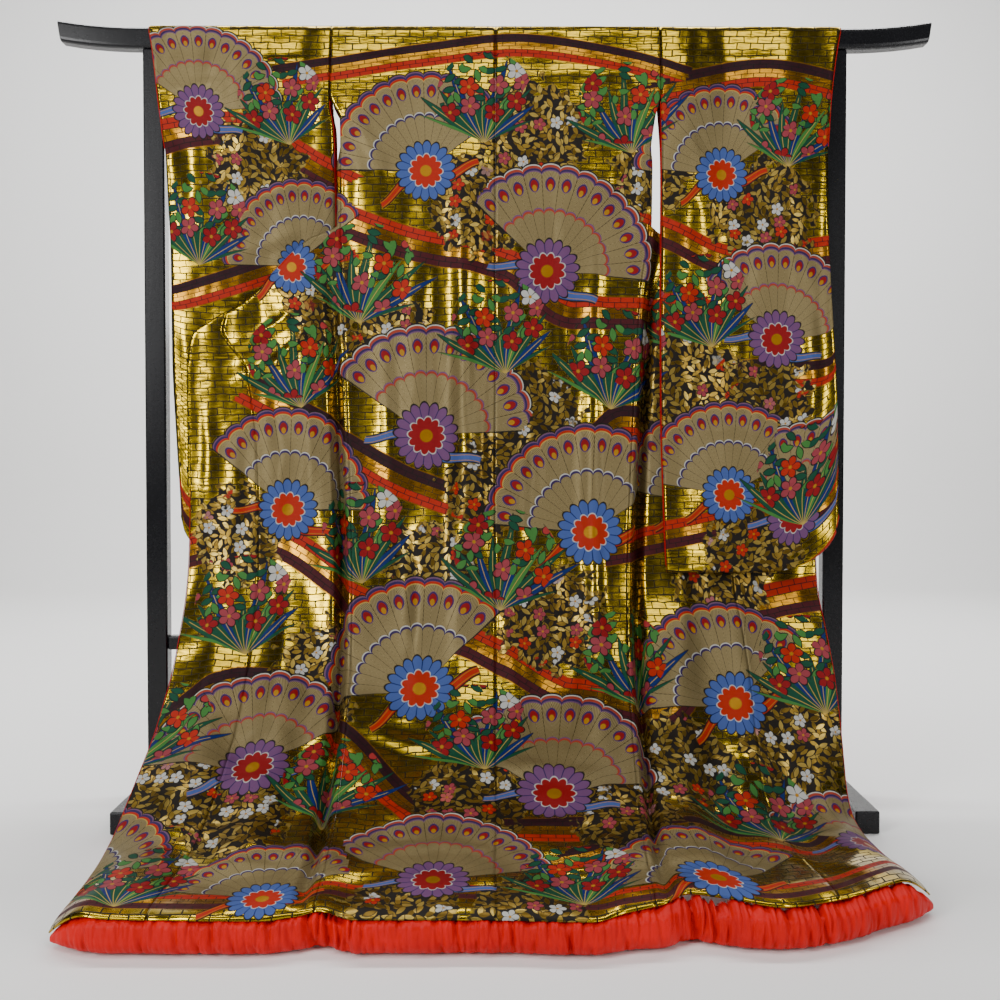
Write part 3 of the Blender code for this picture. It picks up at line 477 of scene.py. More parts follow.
# Creases laid into the cloth: points of each line (x, length from the shoulder), its width and its height
BACK_CREASES = (
    (((-0.270, 0.070), (-0.180, 0.085), (-0.090, 0.080)), 0.010, 0.0016),
    (((-0.240, 0.120), (-0.140, 0.112), (-0.060, 0.128)), 0.009, 0.0015),
    (((-0.030, 0.060), (0.060, 0.078), (0.150, 0.072)), 0.010, 0.0014),
    (((0.060, 0.118), (0.170, 0.105), (0.280, 0.115)), 0.010, 0.0017),
    (((0.180, 0.060), (0.235, 0.100), (0.300, 0.170)), 0.009, 0.0018),
    (((-0.300, 0.160), (-0.240, 0.230), (-0.200, 0.330)), 0.016, 0.0043),
    (((0.300, 0.170), (0.270, 0.300), (0.265, 0.470)), 0.014, 0.0058),
    (((-0.074, 0.180), (-0.062, 0.450), (-0.056, 0.820), (-0.070, 1.340)), 0.024, 0.0101),
    (((-0.020, 0.560), (-0.026, 0.780), (-0.030, 0.960)), 0.013, 0.0052),
    (((0.130, 0.330), (0.124, 0.560), (0.140, 0.760)), 0.015, 0.0046),
    (((0.192, 0.300), (0.184, 0.620), (0.180, 0.900), (0.190, 1.320)), 0.016, 0.0075),
    (((0.060, 0.620), (0.072, 0.860), (0.062, 1.080)), 0.017, -0.0043),
    (((-0.110, 0.420), (-0.120, 0.640), (-0.104, 0.840)), 0.016, -0.0043),
    (((-0.205, 0.620), (-0.196, 0.860), (-0.206, 1.120)), 0.015, 0.0052),
    (((-0.150, 0.960), (-0.140, 1.130), (-0.152, 1.300)), 0.016, 0.0046),
    (((0.030, 0.980), (0.018, 1.150), (0.034, 1.300)), 0.016, 0.0049),
    (((0.150, 1.020), (0.160, 1.180), (0.150, 1.320)), 0.015, 0.0049),
    (((-0.240, 1.330), (-0.120, 1.370), (0.000, 1.350)), 0.018, 0.0058),
    (((-0.060, 1.430), (0.060, 1.410), (0.190, 1.440)), 0.018, 0.0058),
    (((-0.230, 1.500), (-0.110, 1.530), (0.030, 1.500)), 0.017, 0.0052),
    (((0.040, 1.550), (0.150, 1.530), (0.230, 1.560)), 0.016, 0.0052),
    (((-0.220, 1.620), (-0.080, 1.600), (0.060, 1.630)), 0.015, 0.0043),
    (((0.080, 1.680), (0.170, 1.660), (0.230, 1.690)), 0.012, 0.0026),
)
LEFT_CREASES = (
    (((-0.500, 0.690), (-0.461, 0.667), (-0.412, 0.647), (-0.369, 0.607), (-0.350, 0.570)), 0.008, 0.0076),
    (((-0.510, 0.612), (-0.455, 0.600), (-0.400, 0.570), (-0.360, 0.520)), 0.010, 0.0060),
    (((-0.545, 0.650), (-0.480, 0.634), (-0.420, 0.610)), 0.009, -0.0034),
    (((-0.550, 0.705), (-0.540, 0.800), (-0.548, 0.920)), 0.014, 0.0036),
    (((-0.420, 0.700), (-0.400, 0.820), (-0.412, 0.960)), 0.016, 0.0036),
    (((-0.480, 0.760), (-0.470, 0.900), (-0.490, 1.040)), 0.014, -0.0034),
    (((-0.360, 0.640), (-0.345, 0.780), (-0.350, 0.920)), 0.012, 0.0034),
    (((-0.520, 1.060), (-0.510, 1.220), (-0.530, 1.360)), 0.015, 0.0036),
    (((-0.390, 1.020), (-0.380, 1.180), (-0.400, 1.320)), 0.016, 0.0036),
    (((-0.590, 1.300), (-0.500, 1.340), (-0.400, 1.320)), 0.014, 0.0036),
    (((-0.560, 1.420), (-0.450, 1.460), (-0.330, 1.440)), 0.015, 0.0040),
    (((-0.600, 1.540), (-0.480, 1.570), (-0.340, 1.550)), 0.014, 0.0036),
    (((-0.540, 1.640), (-0.430, 1.660), (-0.300, 1.650)), 0.012, 0.0028),
)
RIGHT_CREASES = (
    (((0.340, 0.900), (0.352, 1.060), (0.345, 1.200)), 0.014, 0.0034),
    (((0.440, 1.080), (0.450, 1.220), (0.440, 1.360)), 0.015, 0.0036),
    (((0.540, 1.060), (0.552, 1.200), (0.540, 1.330)), 0.014, 0.0034),
    (((0.320, 1.330), (0.440, 1.360), (0.560, 1.340)), 0.015, 0.0040),
    (((0.300, 1.450), (0.400, 1.480), (0.520, 1.450)), 0.015, 0.0036),
    (((0.420, 1.560), (0.520, 1.550), (0.620, 1.580)), 0.013, 0.0032),
    (((0.300, 1.620), (0.400, 1.650), (0.500, 1.640)), 0.012, 0.0028),
)
LEFT_SLEEVE_CREASES = (
    (((-0.330, 0.080), (-0.420, 0.092), (-0.520, 0.084)), 0.010, 0.0018),
    (((-0.400, 0.140), (-0.500, 0.128), (-0.620, 0.142)), 0.010, 0.0018),
    (((-0.330, 0.300), (-0.440, 0.340), (-0.560, 0.400), (-0.600, 0.430)), 0.016, 0.0040),
    (((-0.330, 0.210), (-0.430, 0.255), (-0.540, 0.270)), 0.014, 0.0030),
    (((-0.360, 0.400), (-0.460, 0.440), (-0.590, 0.480)), 0.014, 0.0034),
    (((-0.380, 0.500), (-0.480, 0.530), (-0.600, 0.540)), 0.012, 0.0030),
    (((-0.600, 0.560), (-0.590, 0.720), (-0.596, 0.900)), 0.014, 0.0026),
)
RIGHT_SLEEVE_CREASES = (
    (((0.340, 0.070), (0.440, 0.086), (0.560, 0.078)), 0.010, 0.0018),
    (((0.380, 0.130), (0.480, 0.122), (0.600, 0.136)), 0.010, 0.0018),
    (((0.345, 0.200), (0.400, 0.300), (0.420, 0.450)), 0.016, 0.0034),
    (((0.560, 0.240), (0.545, 0.380), (0.560, 0.520)), 0.016, 0.0034),
    (((0.350, 0.720), (0.400, 0.660), (0.470, 0.620)), 0.016, 0.0036),
    (((0.460, 0.420), (0.470, 0.560), (0.455, 0.700)), 0.014, -0.0030),
    (((0.360, 0.800), (0.440, 0.780), (0.540, 0.800)), 0.015, 0.0032),
    (((0.500, 0.880), (0.580, 0.900), (0.620, 0.880)), 0.014, 0.0030),
    (((0.590, 0.560), (0.600, 0.700), (0.590, 0.820)), 0.014, 0.0030),
    (((0.380, 0.900), (0.440, 0.960), (0.540, 0.985)), 0.013, 0.0028),
)


def crease_height(creases, x, length):
    """How far the creases push the cloth out: a soft ridge or trough with shallow banks."""
    height = np.zeros_like(x)
    for line, wide, high in creases:
        nearest, along, run = np.full_like(x, 9.0), np.zeros_like(x), 0.0
        for (x0, t0), (x1, t1) in zip(line, line[1:]):
            dx, dt = x1 - x0, t1 - t0
            part = np.clip(((x - x0) * dx + (length - t0) * dt) / (dx * dx + dt * dt), 0, 1)
            gap = np.hypot(x - x0 - part * dx, length - t0 - part * dt)
            closer = gap < nearest
            nearest = np.where(closer, gap, nearest)
            along = np.where(closer, run + part * math.hypot(dx, dt), along)
            run += math.hypot(dx, dt)
        fade = np.sin(math.pi * np.clip(along / run, 0.02, 0.98)) ** 0.7
        reach = (nearest / wide) ** 2
        height += high * fade * (1 - 0.5 * reach) * np.exp(-reach * 0.8)
    return height


def only_select(thing):
    bpy.ops.object.select_all(action="DESELECT")
    thing.select_set(True)
    bpy.context.view_layer.objects.active = thing


def on_all_of(thing, *steps):
    """Runs mesh operators, each on all of a piece."""
    only_select(thing)
    bpy.ops.object.mode_set(mode="EDIT")
    for step in steps:
        bpy.ops.mesh.select_all(action="SELECT")
        step()
    bpy.ops.object.mode_set(mode="OBJECT")


def merge_doubles():
    bpy.ops.mesh.remove_doubles(threshold=MERGE)


def flat_cloth(name, wide, long, columns, rows):
    """A flat rectangle of cloth, cut to size, as a grid of columns and rows."""
    bpy.ops.object.select_all(action="DESELECT")
    bpy.ops.mesh.primitive_grid_add(x_subdivisions=columns, y_subdivisions=rows, size=1.0)
    cloth = bpy.context.object
    cloth.name = cloth.data.name = name
    cloth.scale = (wide, long, 1.0)
    bpy.ops.object.transform_apply(location=False, rotation=False, scale=True)
    return cloth


def nearest_motif(layout, middle, corner):
    """For each corner of each face, its place within the motif that the face lies nearest to."""
    table = np.array(layout, float)
    gap = np.hypot(middle[:, None, 0] - table[:, 0], middle[:, None, 1] - table[:, 1]) / table[:, 3]
    motif = table[gap.argmin(axis=1)].repeat(4, axis=0)
    across, up = (corner - motif[:, :2]).T
    turn = np.radians(motif[:, 2])
    cos, sin = np.cos(turn), np.sin(turn)
    return np.column_stack([
        (cos * across + sin * up) / motif[:, 3], (cos * up - sin * across) / motif[:, 3], motif[:, 4],
    ])


def nearest_path(middle, corner):
    """For each corner of each face, its place along and across the nearest woven path."""
    steps = []
    for line, half, kind in PATHS:
        line = np.array(line)
        order = np.linspace(0, len(line) - 1, 24 * (len(line) - 1) + 1)
        rows = np.column_stack([np.arange(len(line)), line])
        points = np.column_stack([read(rows, order, 1), read(rows, order, 2)])
        way = np.diff(points, axis=0)
        long = np.hypot(*way.T)
        run = np.concatenate([[0.0], np.cumsum(long)])[:-1]
        steps.append(np.column_stack([
            points[:-1], way / long[:, None], run, np.full(len(way), half), np.full(len(way), kind),
        ]))
    steps = np.concatenate(steps)
    pick = []
    for part in np.array_split(middle, max(1, len(middle) // 4000)):
        gap = np.hypot(part[:, None, 0] - steps[:, 0], part[:, None, 1] - steps[:, 1])
        pick.append((gap / steps[:, 5]).argmin(axis=1))
    step = steps[np.concatenate(pick)].repeat(4, axis=0)
    offset = corner - step[:, :2]
    along = step[:, 4] + (offset * step[:, 2:4]).sum(axis=1)
    aside = (step[:, 2] * offset[:, 1] - step[:, 3] * offset[:, 0]) / step[:, 5]
    return np.column_stack([along, aside, step[:, 6]])


def hang_cloth(cloth, points, flat, outward, height):
    """Hangs a flat cloth: points and flat places are given for each row and column of its grid.

    outward is 1 or -1, the side of the hung grid that its right face takes, and height how far its
    creases stand out of it.
    """
    rows, columns = points.shape[0] - 1, points.shape[1] - 1
    mesh = cloth.data
    corner = np.empty(len(mesh.vertices) * 3)
    mesh.vertices.foreach_get("co", corner)
    corner = corner.reshape(-1, 3)
    wide, long = np.ptp(corner[:, 0]), np.ptp(corner[:, 1])
    column = np.rint((corner[:, 0] / wide + 0.5) * columns).astype(int)
    row = np.rint((0.5 - corner[:, 1] / long) * rows).astype(int)
    normal = np.cross(np.gradient(points, axis=1), np.gradient(points, axis=0))
    normal *= outward / np.maximum(np.linalg.norm(normal, axis=2), 1e-9)[..., None]
    placed = points + normal * height[..., None] + np.array([0.0, BAR_Y, 0.0])
    mesh.vertices.foreach_set("co", placed[row, column].ravel())
    loops = np.empty(len(mesh.loops), int)
    mesh.loops.foreach_get("vertex_index", loops)
    place = flat[row, column][loops]
    mesh.uv_layers.active.data.foreach_set("uv", place.ravel())
    middle = place.reshape(-1, 4, 2).mean(axis=1)
    for name, value in (
        ("fan", nearest_motif(FANS, middle, place)),
        ("spray", nearest_motif(SPRAYS, middle, place)),
        ("shrub", nearest_motif(SHRUBS, middle, place)),
        ("path", nearest_path(middle, place)),
    ):
        layer = mesh.attributes.new(name, "FLOAT_VECTOR", "CORNER")
        layer.data.foreach_set("vector", value.ravel())
    mesh.update()
    face = mesh.polygons[len(mesh.polygons) // 2]
    wanted = normal[row[face.vertices[0]], column[face.vertices[0]]]
    if face.normal.dot(wanted.tolist()) < 0:
        on_all_of(cloth, bpy.ops.mesh.flip_normals)


def line_cloth(cloth, settings):
    """Gives the cloth its thickness, brocade outside and silk lining inside."""
    only_select(cloth)
    bpy.ops.object.shade_smooth()
    cloth.data.materials.append(brocade())
    cloth.data.materials.append(lining_silk())
    wall = cloth.modifiers.new("lined", "SOLIDIFY")
    wall.thickness = settings.wall
    wall.offset = 0.0
    wall.material_offset = 1
    bpy.ops.object.modifier_apply(modifier=wall.name)


def piping(name, path, radius, settings):
    """A thin rolled edge of lining silk along a path."""
    bpy.ops.object.select_all(action="DESELECT")
    bpy.ops.curve.primitive_nurbs_path_add()
    edge = bpy.context.object
    edge.name = edge.data.name = name
    curve = edge.data
    curve.splines.clear()
    spline = curve.splines.new("POLY")
    spline.points.add(len(path) - 1)
    moved = np.asarray(path) + np.array([0.0, BAR_Y, 0.0])
    spline.points.foreach_set("co", np.column_stack([moved, np.ones(len(moved))]).ravel())
    curve.dimensions = "3D"
    curve.bevel_depth = radius
    curve.bevel_resolution = 2
    curve.use_fill_caps = True
    only_select(edge)
    bpy.ops.object.convert(target="MESH")
    edge = bpy.context.object
    edge.location = (0.0, 0.0, 0.0)
    bpy.ops.object.shade_smooth()
    edge.data.materials.append(lining_silk())
    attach(edge, "root")
    return edge


def declare_cloth(cloth, node):
    """The finished cloth is attached to the root and stands for its solid, which is hidden."""
    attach(cloth, "root")
    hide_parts(node)


def rows_between(start, end, step):
    return np.linspace(start, end, int(round((end - start) / step)) + 1)


def side_creases(side):
    return LEFT_CREASES if side == LEFT else RIGHT_CREASES


def above_hem(length):
    """1 down the cloth and 0 where it meets the hem roll, where creases end."""
    return 1 - smooth((length - 1.70) / 0.08)


def make_back(side, word, settings):
    """One back panel, from the bar to the hem roll."""
    rows = rows_between(FIRST_ROW, LENGTH, settings.step)
    across = np.linspace(0.0, 1.0, int(round(BACK_CUT[0] / settings.step)) + 1)
    points = np.array([back_place(side, t, across) for t in rows])
    x, length = points[..., 0], np.repeat(rows[:, None], len(across), axis=1)
    flat = np.stack([x, -length], axis=-1)
    height = crease_height(BACK_CREASES, x, length) * above_hem(length)
    seam = smooth(across * 0.3 / 0.02) * smooth((1 - across) * 0.3 / 0.02)
    height = height * seam - settings.seam_dip * np.exp(-((across * 0.3 / 0.004) ** 2))
    cloth = flat_cloth(f"back_cloth_{word}", *BACK_CUT, len(across) - 1, len(rows) - 1)
    hang_cloth(cloth, points, flat, -side, height)
    line_cloth(cloth, settings)
    declare_cloth(cloth, f"back_{word}")


def course_columns(side, length, start, end, count):
    """Places across the cut, closer in the pleat and where the cloth turns back on itself."""
    fine = np.linspace(start, end, 500)
    lane_run, turn_run = front_course(side, length)[3:]
    run = front_run(side, length, fine)
    closeness = 1 + 3 * np.exp(-(((run - lane_run - turn_run / 2) / 0.016) ** 2))
    closeness += 2 * np.exp(-(((run - 0.035) / 0.03) ** 2)) * smooth((length - 0.45) / 0.1)
    total = np.concatenate([[0.0], np.cumsum((closeness[1:] + closeness[:-1]) / 2)])
    return np.interp(np.linspace(0, total[-1], count + 1), total, fine)


def front_strip(side, name, first, last, rows, count):
    """A strip of the front between two places across its cut, hung in its course."""
    points, flat, height = [], [], []
    for length in rows:
        across = course_columns(side, length, first(length), last(length), count)
        run = front_run(side, length, across)
        placed = front_place(side, length, across)
        seam_x = read(SIDE_SEAM, length, by_side(side))
        lane_run, turn_run = front_course(side, length)[3:]
        near = 1 - smooth((run - lane_run + 0.006) / 0.012)
        over = np.full_like(across, length)
        fold = crease_height(side_creases(side), placed[:, 0], over) * smooth((run - 0.04) / 0.02)
        fold = fold * (near + 0.5 * smooth((run - lane_run - turn_run) / 0.02))
        points.append(placed)
        flat.append(np.column_stack([side * (seam_x + run), -over]))
        height.append(fold * above_hem(length))
    points, flat, height = np.array(points), np.array(flat), np.array(height)
    cloth = flat_cloth(name, last(0.9) - first(0.9), rows[-1] - rows[0], count, len(rows) - 1)
    hang_cloth(cloth, points, flat, -side, height)
    return cloth


def make_front(side, word, settings):
    """One front panel, from the side seam round to the okumi."""
    rows = rows_between(FIRST_ROW, LENGTH, settings.step)
    cloth = front_strip(
        side, f"front_cloth_{word}", lambda t: 0.0, lambda t: read(CUT_WIDTHS, t) - SEAM, rows, 64
    )
    line_cloth(cloth, settings)
    declare_cloth(cloth, f"front_{word}")


def make_okumi(side, word, settings):
    """One overlap panel, with the rolled silk of its free edge."""
    rows = rows_between(OKUMI_TOP, LENGTH, settings.step)
    cloth = front_strip(
        side, f"okumi_cloth_{word}", lambda t: read(CUT_WIDTHS, t), cut_width, rows, 30
    )
    line_cloth(cloth, settings)
    free = rows_between(0.60, LENGTH - 0.010, 0.012)
    edge = [front_place(side, t, np.array([cut_width(t) + 0.0014]))[0] for t in free]
    rolled = piping(f"front_edge_{word}", edge, settings.edge_radius * 0.6, settings)
    declare_cloth(cloth, f"okumi_{word}")


def collar_width(length):
    """Width of the side collar, mitred at the neck and tapered at its end."""
    return COLLAR_WIDTH * min(1.0, length / COLLAR_MITRE) * smooth((COLLAR_END + 0.05 - length) / 0.10)


def make_side_collar(side, word, settings):
    """The collar down one front edge."""
    rows = rows_between(0.010, COLLAR_END, settings.step)
    cloth = front_strip(
        side,
        f"collar_cloth_{word}",
        lambda t: cut_width(t) + SEAM,
        lambda t: cut_width(t) + SEAM + float(collar_width(t)),
        rows,
        14,
    )
    line_cloth(cloth, settings)
    declare_cloth(cloth, f"collar_{word}")


def make_neck_collar(settings):
    """The collar round the back of the neck, behind the bar."""
    rows = rows_between(FIRST_ROW, COLLAR_MITRE, settings.step / 1.5)
    across = np.linspace(-1.0, 1.0, 31)
    points = np.array([neck_place(RIGHT, t, across) for t in rows])
    flat = np.stack([points[..., 0], np.repeat(rows[:, None], len(across), axis=1)], axis=-1)
    cloth = flat_cloth("collar_cloth_neck", *NECK_CUT, len(across) - 1, len(rows) - 1)
    hang_cloth(cloth, points, flat, 1, np.zeros(points.shape[:2]))
    line_cloth(cloth, settings)
    declare_cloth(cloth, "collar_neck")


def make_sleeve(side, word, settings):
    """One long cloth folded over the bar, with its near and far ends sewn together at the bottom."""
    across = np.linspace(0.0, 1.0, int(round(0.33 / settings.step)) + 1)
    creases = LEFT_SLEEVE_CREASES if side == LEFT else RIGHT_SLEEVE_CREASES
    straight = rows_between(0.0, SLEEVE_STRAIGHT, settings.step)
    points, flat, height = [], [], []

    def add_row(layer, length, placed, amount):
        points.append(placed)
        place = side * (SLEEVE_INNER + across * SLEEVE_CUT[0])
        flat.append(np.column_stack([place, np.full_like(across, layer * length)]))
        over = np.full_like(across, length)
        sides = smooth(across / 0.06) * smooth((1 - across) / 0.10)
        height.append(crease_height(creases, placed[:, 0], over) * sides * amount)

    bottom = {layer: sleeve_layer(side, layer, SLEEVE_STRAIGHT, across) for layer in (-1, 1)}
    middle = (bottom[-1] + bottom[1]) / 2
    turns = [math.radians(a) for a in (90, 68, 45, 22)]

    def bottom_row(layer, turn):
        placed = middle + (bottom[layer] - middle) * math.cos(turn)
        placed[:, 2] -= SLEEVE_TUCK * math.sin(turn)
        add_row(layer, SLEEVE_STRAIGHT + SLEEVE_TUCK * math.sin(turn), placed, 0.0)

    for turn in turns:
        bottom_row(1, turn)
    for layer, lengths, amount in ((1, straight[:0:-1], 0.6), (-1, straight, 1.0)):
        for length in lengths:
            ended = 1 - smooth((length - 0.98) / 0.06)
            add_row(layer, length, sleeve_layer(side, layer, length, across), amount * ended)
    for turn in turns[::-1]:
        bottom_row(-1, turn)
    points, flat, height = np.array(points), np.array(flat), np.array(height)
    cloth = flat_cloth(f"sleeve_cloth_{word}", *SLEEVE_CUT, len(across) - 1, len(points) - 1)
    hang_cloth(cloth, points, flat, -side, height)
    on_all_of(cloth, merge_doubles)
    line_cloth(cloth, settings)
    out = np.array([side * 0.0006, 0.0, 0.0])
    open_part = rows_between(0.0, 0.25, 0.01)
    cuff = [sleeve_layer(side, 1, t, np.array([1.0]))[0] + out for t in open_part[:0:-1]]
    cuff += [sleeve_layer(side, -1, t, np.array([1.0]))[0] + out for t in open_part]
    edges = [piping(f"cuff_edge_{word}", cuff, settings.edge_radius, settings)]
    for layer, place in ((-1, "near"), (1, "far")):
        free = rows_between(0.165, 1.040, 0.012)
        line = [sleeve_layer(side, layer, t, np.array([0.0]))[0] - out for t in free]
        edges.append(piping(f"sleeve_edge_{place}_{word}", line, settings.edge_radius * 0.7, settings))
    declare_cloth(cloth, f"sleeve_{word}")


def close_ends():
    bpy.ops.mesh.fill_holes(sides=0)


def face_outwards():
    bpy.ops.mesh.normals_make_consistent(inside=False)


# Waves of the gathers: (pitch along the roll, depth)
GATHERS = ((0.0093, 0.05), (0.0153, 0.09), (0.0247, 0.13), (0.043, 0.13), (0.087, 0.08))
# Places where the gathers are drawn in more: (x, half width, how much)
PINCHES = ((-0.209, 0.035, 1.5), (0.289, 0.035, 1.3), (-0.02, 0.05, 0.4), (0.42, 0.05, 0.4))


def gather_depth(run, angle, seeds):
    """How deep the gathers of the padded hem cut in at a run along it and a place round it."""
    depth = np.zeros(np.broadcast(run, angle).shape)
    for pitch, amount, start, slant in seeds:
        wave = np.sin(2 * math.pi * run / pitch + start + slant * np.sin(angle))
        depth += amount * (0.5 + 0.5 * wave) ** 5
    return depth


def make_hem_roll(settings):
    """The padded hem: a flat strip of silk rolled into a tube, gathered and drawn to two points."""
    columns, around = settings.hem_columns, HEM_AROUND
    first, last = HEM_COURSE[0][0], HEM_COURSE[-1][0]
    x = np.linspace(first, last, columns + 1)
    roll = flat_cloth("hem_padding", last - first, HEM_STRIP, columns, around)
    y, z, deep, high = roll_section(x)
    angle = np.linspace(0.0, 2 * math.pi, around + 1)[:, None]
    generator = np.random.default_rng(7)
    seeds = [
        (pitch, amount, generator.uniform(0, 6.28), generator.uniform(-1.6, 1.6))
        for pitch, amount in GATHERS
    ]
    swell = 0.65 + 0.35 * np.sin(2 * math.pi * x / 0.21 + 1.1) * np.sin(2 * math.pi * x / 0.137)
    for at, wide, strong in PINCHES:
        swell = swell + strong * np.exp(-(((x - at) / wide) ** 2))
    depth = gather_depth(x[None, :], angle, seeds) * swell[None, :]
    under = smooth((-np.sin(angle) - 0.55) / 0.4)
    puffed = np.exp(-(((angle - 2.50) / 0.26) ** 2))
    full = 1.03 - 0.03 * under + 0.13 * puffed - np.minimum(depth, 0.42) * (1 - 0.8 * under)
    points = np.stack([
        np.broadcast_to(x[None, :], full.shape),
        y[None, :] + deep[None, :] * full * np.cos(angle),
        np.maximum(z[None, :] + high[None, :] * full * np.sin(angle), 0.0004),
    ], axis=-1)
    flat = np.stack([
        np.broadcast_to(x[None, :], full.shape), np.broadcast_to(angle * 0.0294, full.shape)
    ], axis=-1)
    hang_cloth(roll, points, flat, 1, np.zeros(full.shape))
    on_all_of(roll, merge_doubles, close_ends, face_outwards)
    bpy.ops.object.shade_smooth()
    roll.data.materials.append(hem_silk())
    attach(roll, "root")
    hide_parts("hem_roll")


# Dyes and threads, as sRGB numbers from 0 to 255
SILVER, CREAM, WHITE = (134, 119, 82), (158, 133, 62), (165, 164, 158)
SKY_BLUE, DEEP_BLUE, VIOLET, LILAC = (56, 77, 133), (0, 28, 86), (38, 21, 70), (92, 56, 94)
RED, ORANGE, SALMON, PINK = (120, 0, 5), (152, 26, 0), (137, 47, 30), (130, 47, 55)
GREEN, PALE_GREEN, WINE, DARK_WINE = (0, 60, 38), (53, 105, 43), (60, 7, 15), (36, 3, 11)
INK, YELLOW = (6, 5, 3), (150, 105, 6)


def dye(colour):
    """A linear colour from sRGB numbers."""
    shares = [c / 255 for c in colour]
    return (*[c / 12.92 if c <= 0.04045 else ((c + 0.055) / 1.055) ** 2.4 for c in shares], 1.0)


class Reading:
    """A number that changes over the cloth. Sums of readings become Math nodes."""

    def __init__(self, tree, socket):
        self.tree, self.socket = tree, socket

    def step(self, operation, *others, clamp=False):
        node = self.tree.nodes.new("ShaderNodeMath")
        node.operation, node.use_clamp = operation, clamp
        for slot, value in zip(node.inputs, (self, *others)):
            if isinstance(value, Reading):
                self.tree.links.new(value.socket, slot)
            else:
                slot.default_value = value
        return Reading(self.tree, node.outputs[0])

    def __add__(self, other):
        return self.step("ADD", other)

    def __sub__(self, other):
        return self.step("SUBTRACT", other)

    def __mul__(self, other):
        return self.step("MULTIPLY", other)

    def __truediv__(self, other):
        return self.step("DIVIDE", other)

    def below(self, limit, soft):
        """1 where this reading is under the limit, with a soft edge."""
        return (self - limit).step("MULTIPLY_ADD", -1 / soft, 0.5, clamp=True)

    def above(self, limit, soft):
        """1 where this reading is over the limit, with a soft edge."""
        return (self - limit).step("MULTIPLY_ADD", 1 / soft, 0.5, clamp=True)

    def size(self):
        return self.step("ABSOLUTE")

    def from_middle(self, pitch):
        """How far from the middle of its repeat, -0.5 to 0.5, for repeats of a pitch."""
        return (self / pitch).step("ADD", 0.5).step("FRACT") - 0.5

    def chance(self):
        """A number from 0 to 1 that looks random, one for each whole number."""
        return ((self * 12.9898).step("SINE") * 43758.5).step("FRACT")


class Weaver:
    """Lays colours over each other on the cloth, with a share of metal thread for each."""

    def __init__(self, tree):
        self.tree = tree
        self.colour = self.metal = None

    def read(self, name):
        """The three numbers of an attribute of the cloth."""
        node = self.tree.nodes.new("ShaderNodeAttribute")
        node.attribute_name = name
        return self.split(node.outputs["Vector"])

    def split(self, vector):
        parts = self.tree.nodes.new("ShaderNodeSeparateXYZ")
        self.tree.links.new(vector, parts.inputs[0])
        return [Reading(self.tree, out) for out in parts.outputs]

    def join(self, x, y, z=None):
        whole = self.tree.nodes.new("ShaderNodeCombineXYZ")
        for slot, value in zip(whole.inputs, (x, y, z)):
            if value is not None:
                self.tree.links.new(value.socket, slot)
        return whole.outputs[0]

    def noise(self, vector, scale, detail=2.0):
        node = self.tree.nodes.new("ShaderNodeTexNoise")
        node.inputs["Scale"].default_value = scale
        node.inputs["Detail"].default_value = detail
        self.tree.links.new(vector, node.inputs["Vector"])
        return Reading(self.tree, node.outputs[0])

    def cells(self, vector, scale, scatter):
        """Scattered cells: the place in the cell across and up, the distance, and two random numbers."""
        node = self.tree.nodes.new("ShaderNodeTexVoronoi")
        node.voronoi_dimensions = "2D"
        node.inputs["Scale"].default_value = scale
        node.inputs["Randomness"].default_value = scatter
        self.tree.links.new(vector, node.inputs["Vector"])
        x, y, _ = self.split(vector)
        there_x, there_y, _ = self.split(node.outputs["Position"])
        luck, more, _ = self.split(node.outputs["Color"])
        return (x - there_x) * scale, (y - there_y) * scale, luck, more

    def mix(self, mask, under, over):
        """One colour under the mask and another where it is 1."""
        node = self.tree.nodes.new("ShaderNodeMix")
        node.data_type = "RGBA"
        self.tree.links.new(mask.socket, node.inputs[0])
        for slot, value in ((node.inputs[6], under), (node.inputs[7], over)):
            if isinstance(value, tuple):
                slot.default_value = value
            else:
                self.tree.links.new(value, slot)
        return node.outputs[2]

    def lay(self, mask, colour, metal=0.0):
        """Lays a colour where the mask is 1."""
        colour = dye(colour) if isinstance(colour, tuple) else colour
        self.colour = self.mix(mask, self.colour, colour)
        self.metal = self.metal * mask.step("MULTIPLY_ADD", -1.0, 1.0)
        if metal:
            self.metal = self.metal + mask * metal

    def pick(self, luck, *colours):
        """One of some colours by a random number."""
        chosen = dye(colours[0])
        for k, colour in enumerate(colours[1:], 1):
            chosen = self.mix(luck.above(k / len(colours), 0.01), chosen, dye(colour))
        return chosen


def flower(weaver, x, y, size, allowed, colour):
    """A five-petalled flower with a dark outline and a yellow eye, drawn round x, y = 0."""
    far = weaver.tree.nodes.new("ShaderNodeVectorMath")
    far.operation = "LENGTH"
    weaver.tree.links.new(weaver.join(x, y), far.inputs[0])
    far = Reading(weaver.tree, far.outputs["Value"])
    petal = (y.step("ARCTAN2", x) * 2.5).step("COSINE").size()
    edge = petal.step("MULTIPLY_ADD", 0.45 * size, 0.58 * size)
    weaver.lay(far.below(edge + 0.13 * size, 0.03) * allowed, INK)
    weaver.lay(far.below(edge, 0.03) * petal.above(0.16, 0.10) * allowed, colour)
    weaver.lay(far.below(0.17 * size, 0.04) * allowed, YELLOW)


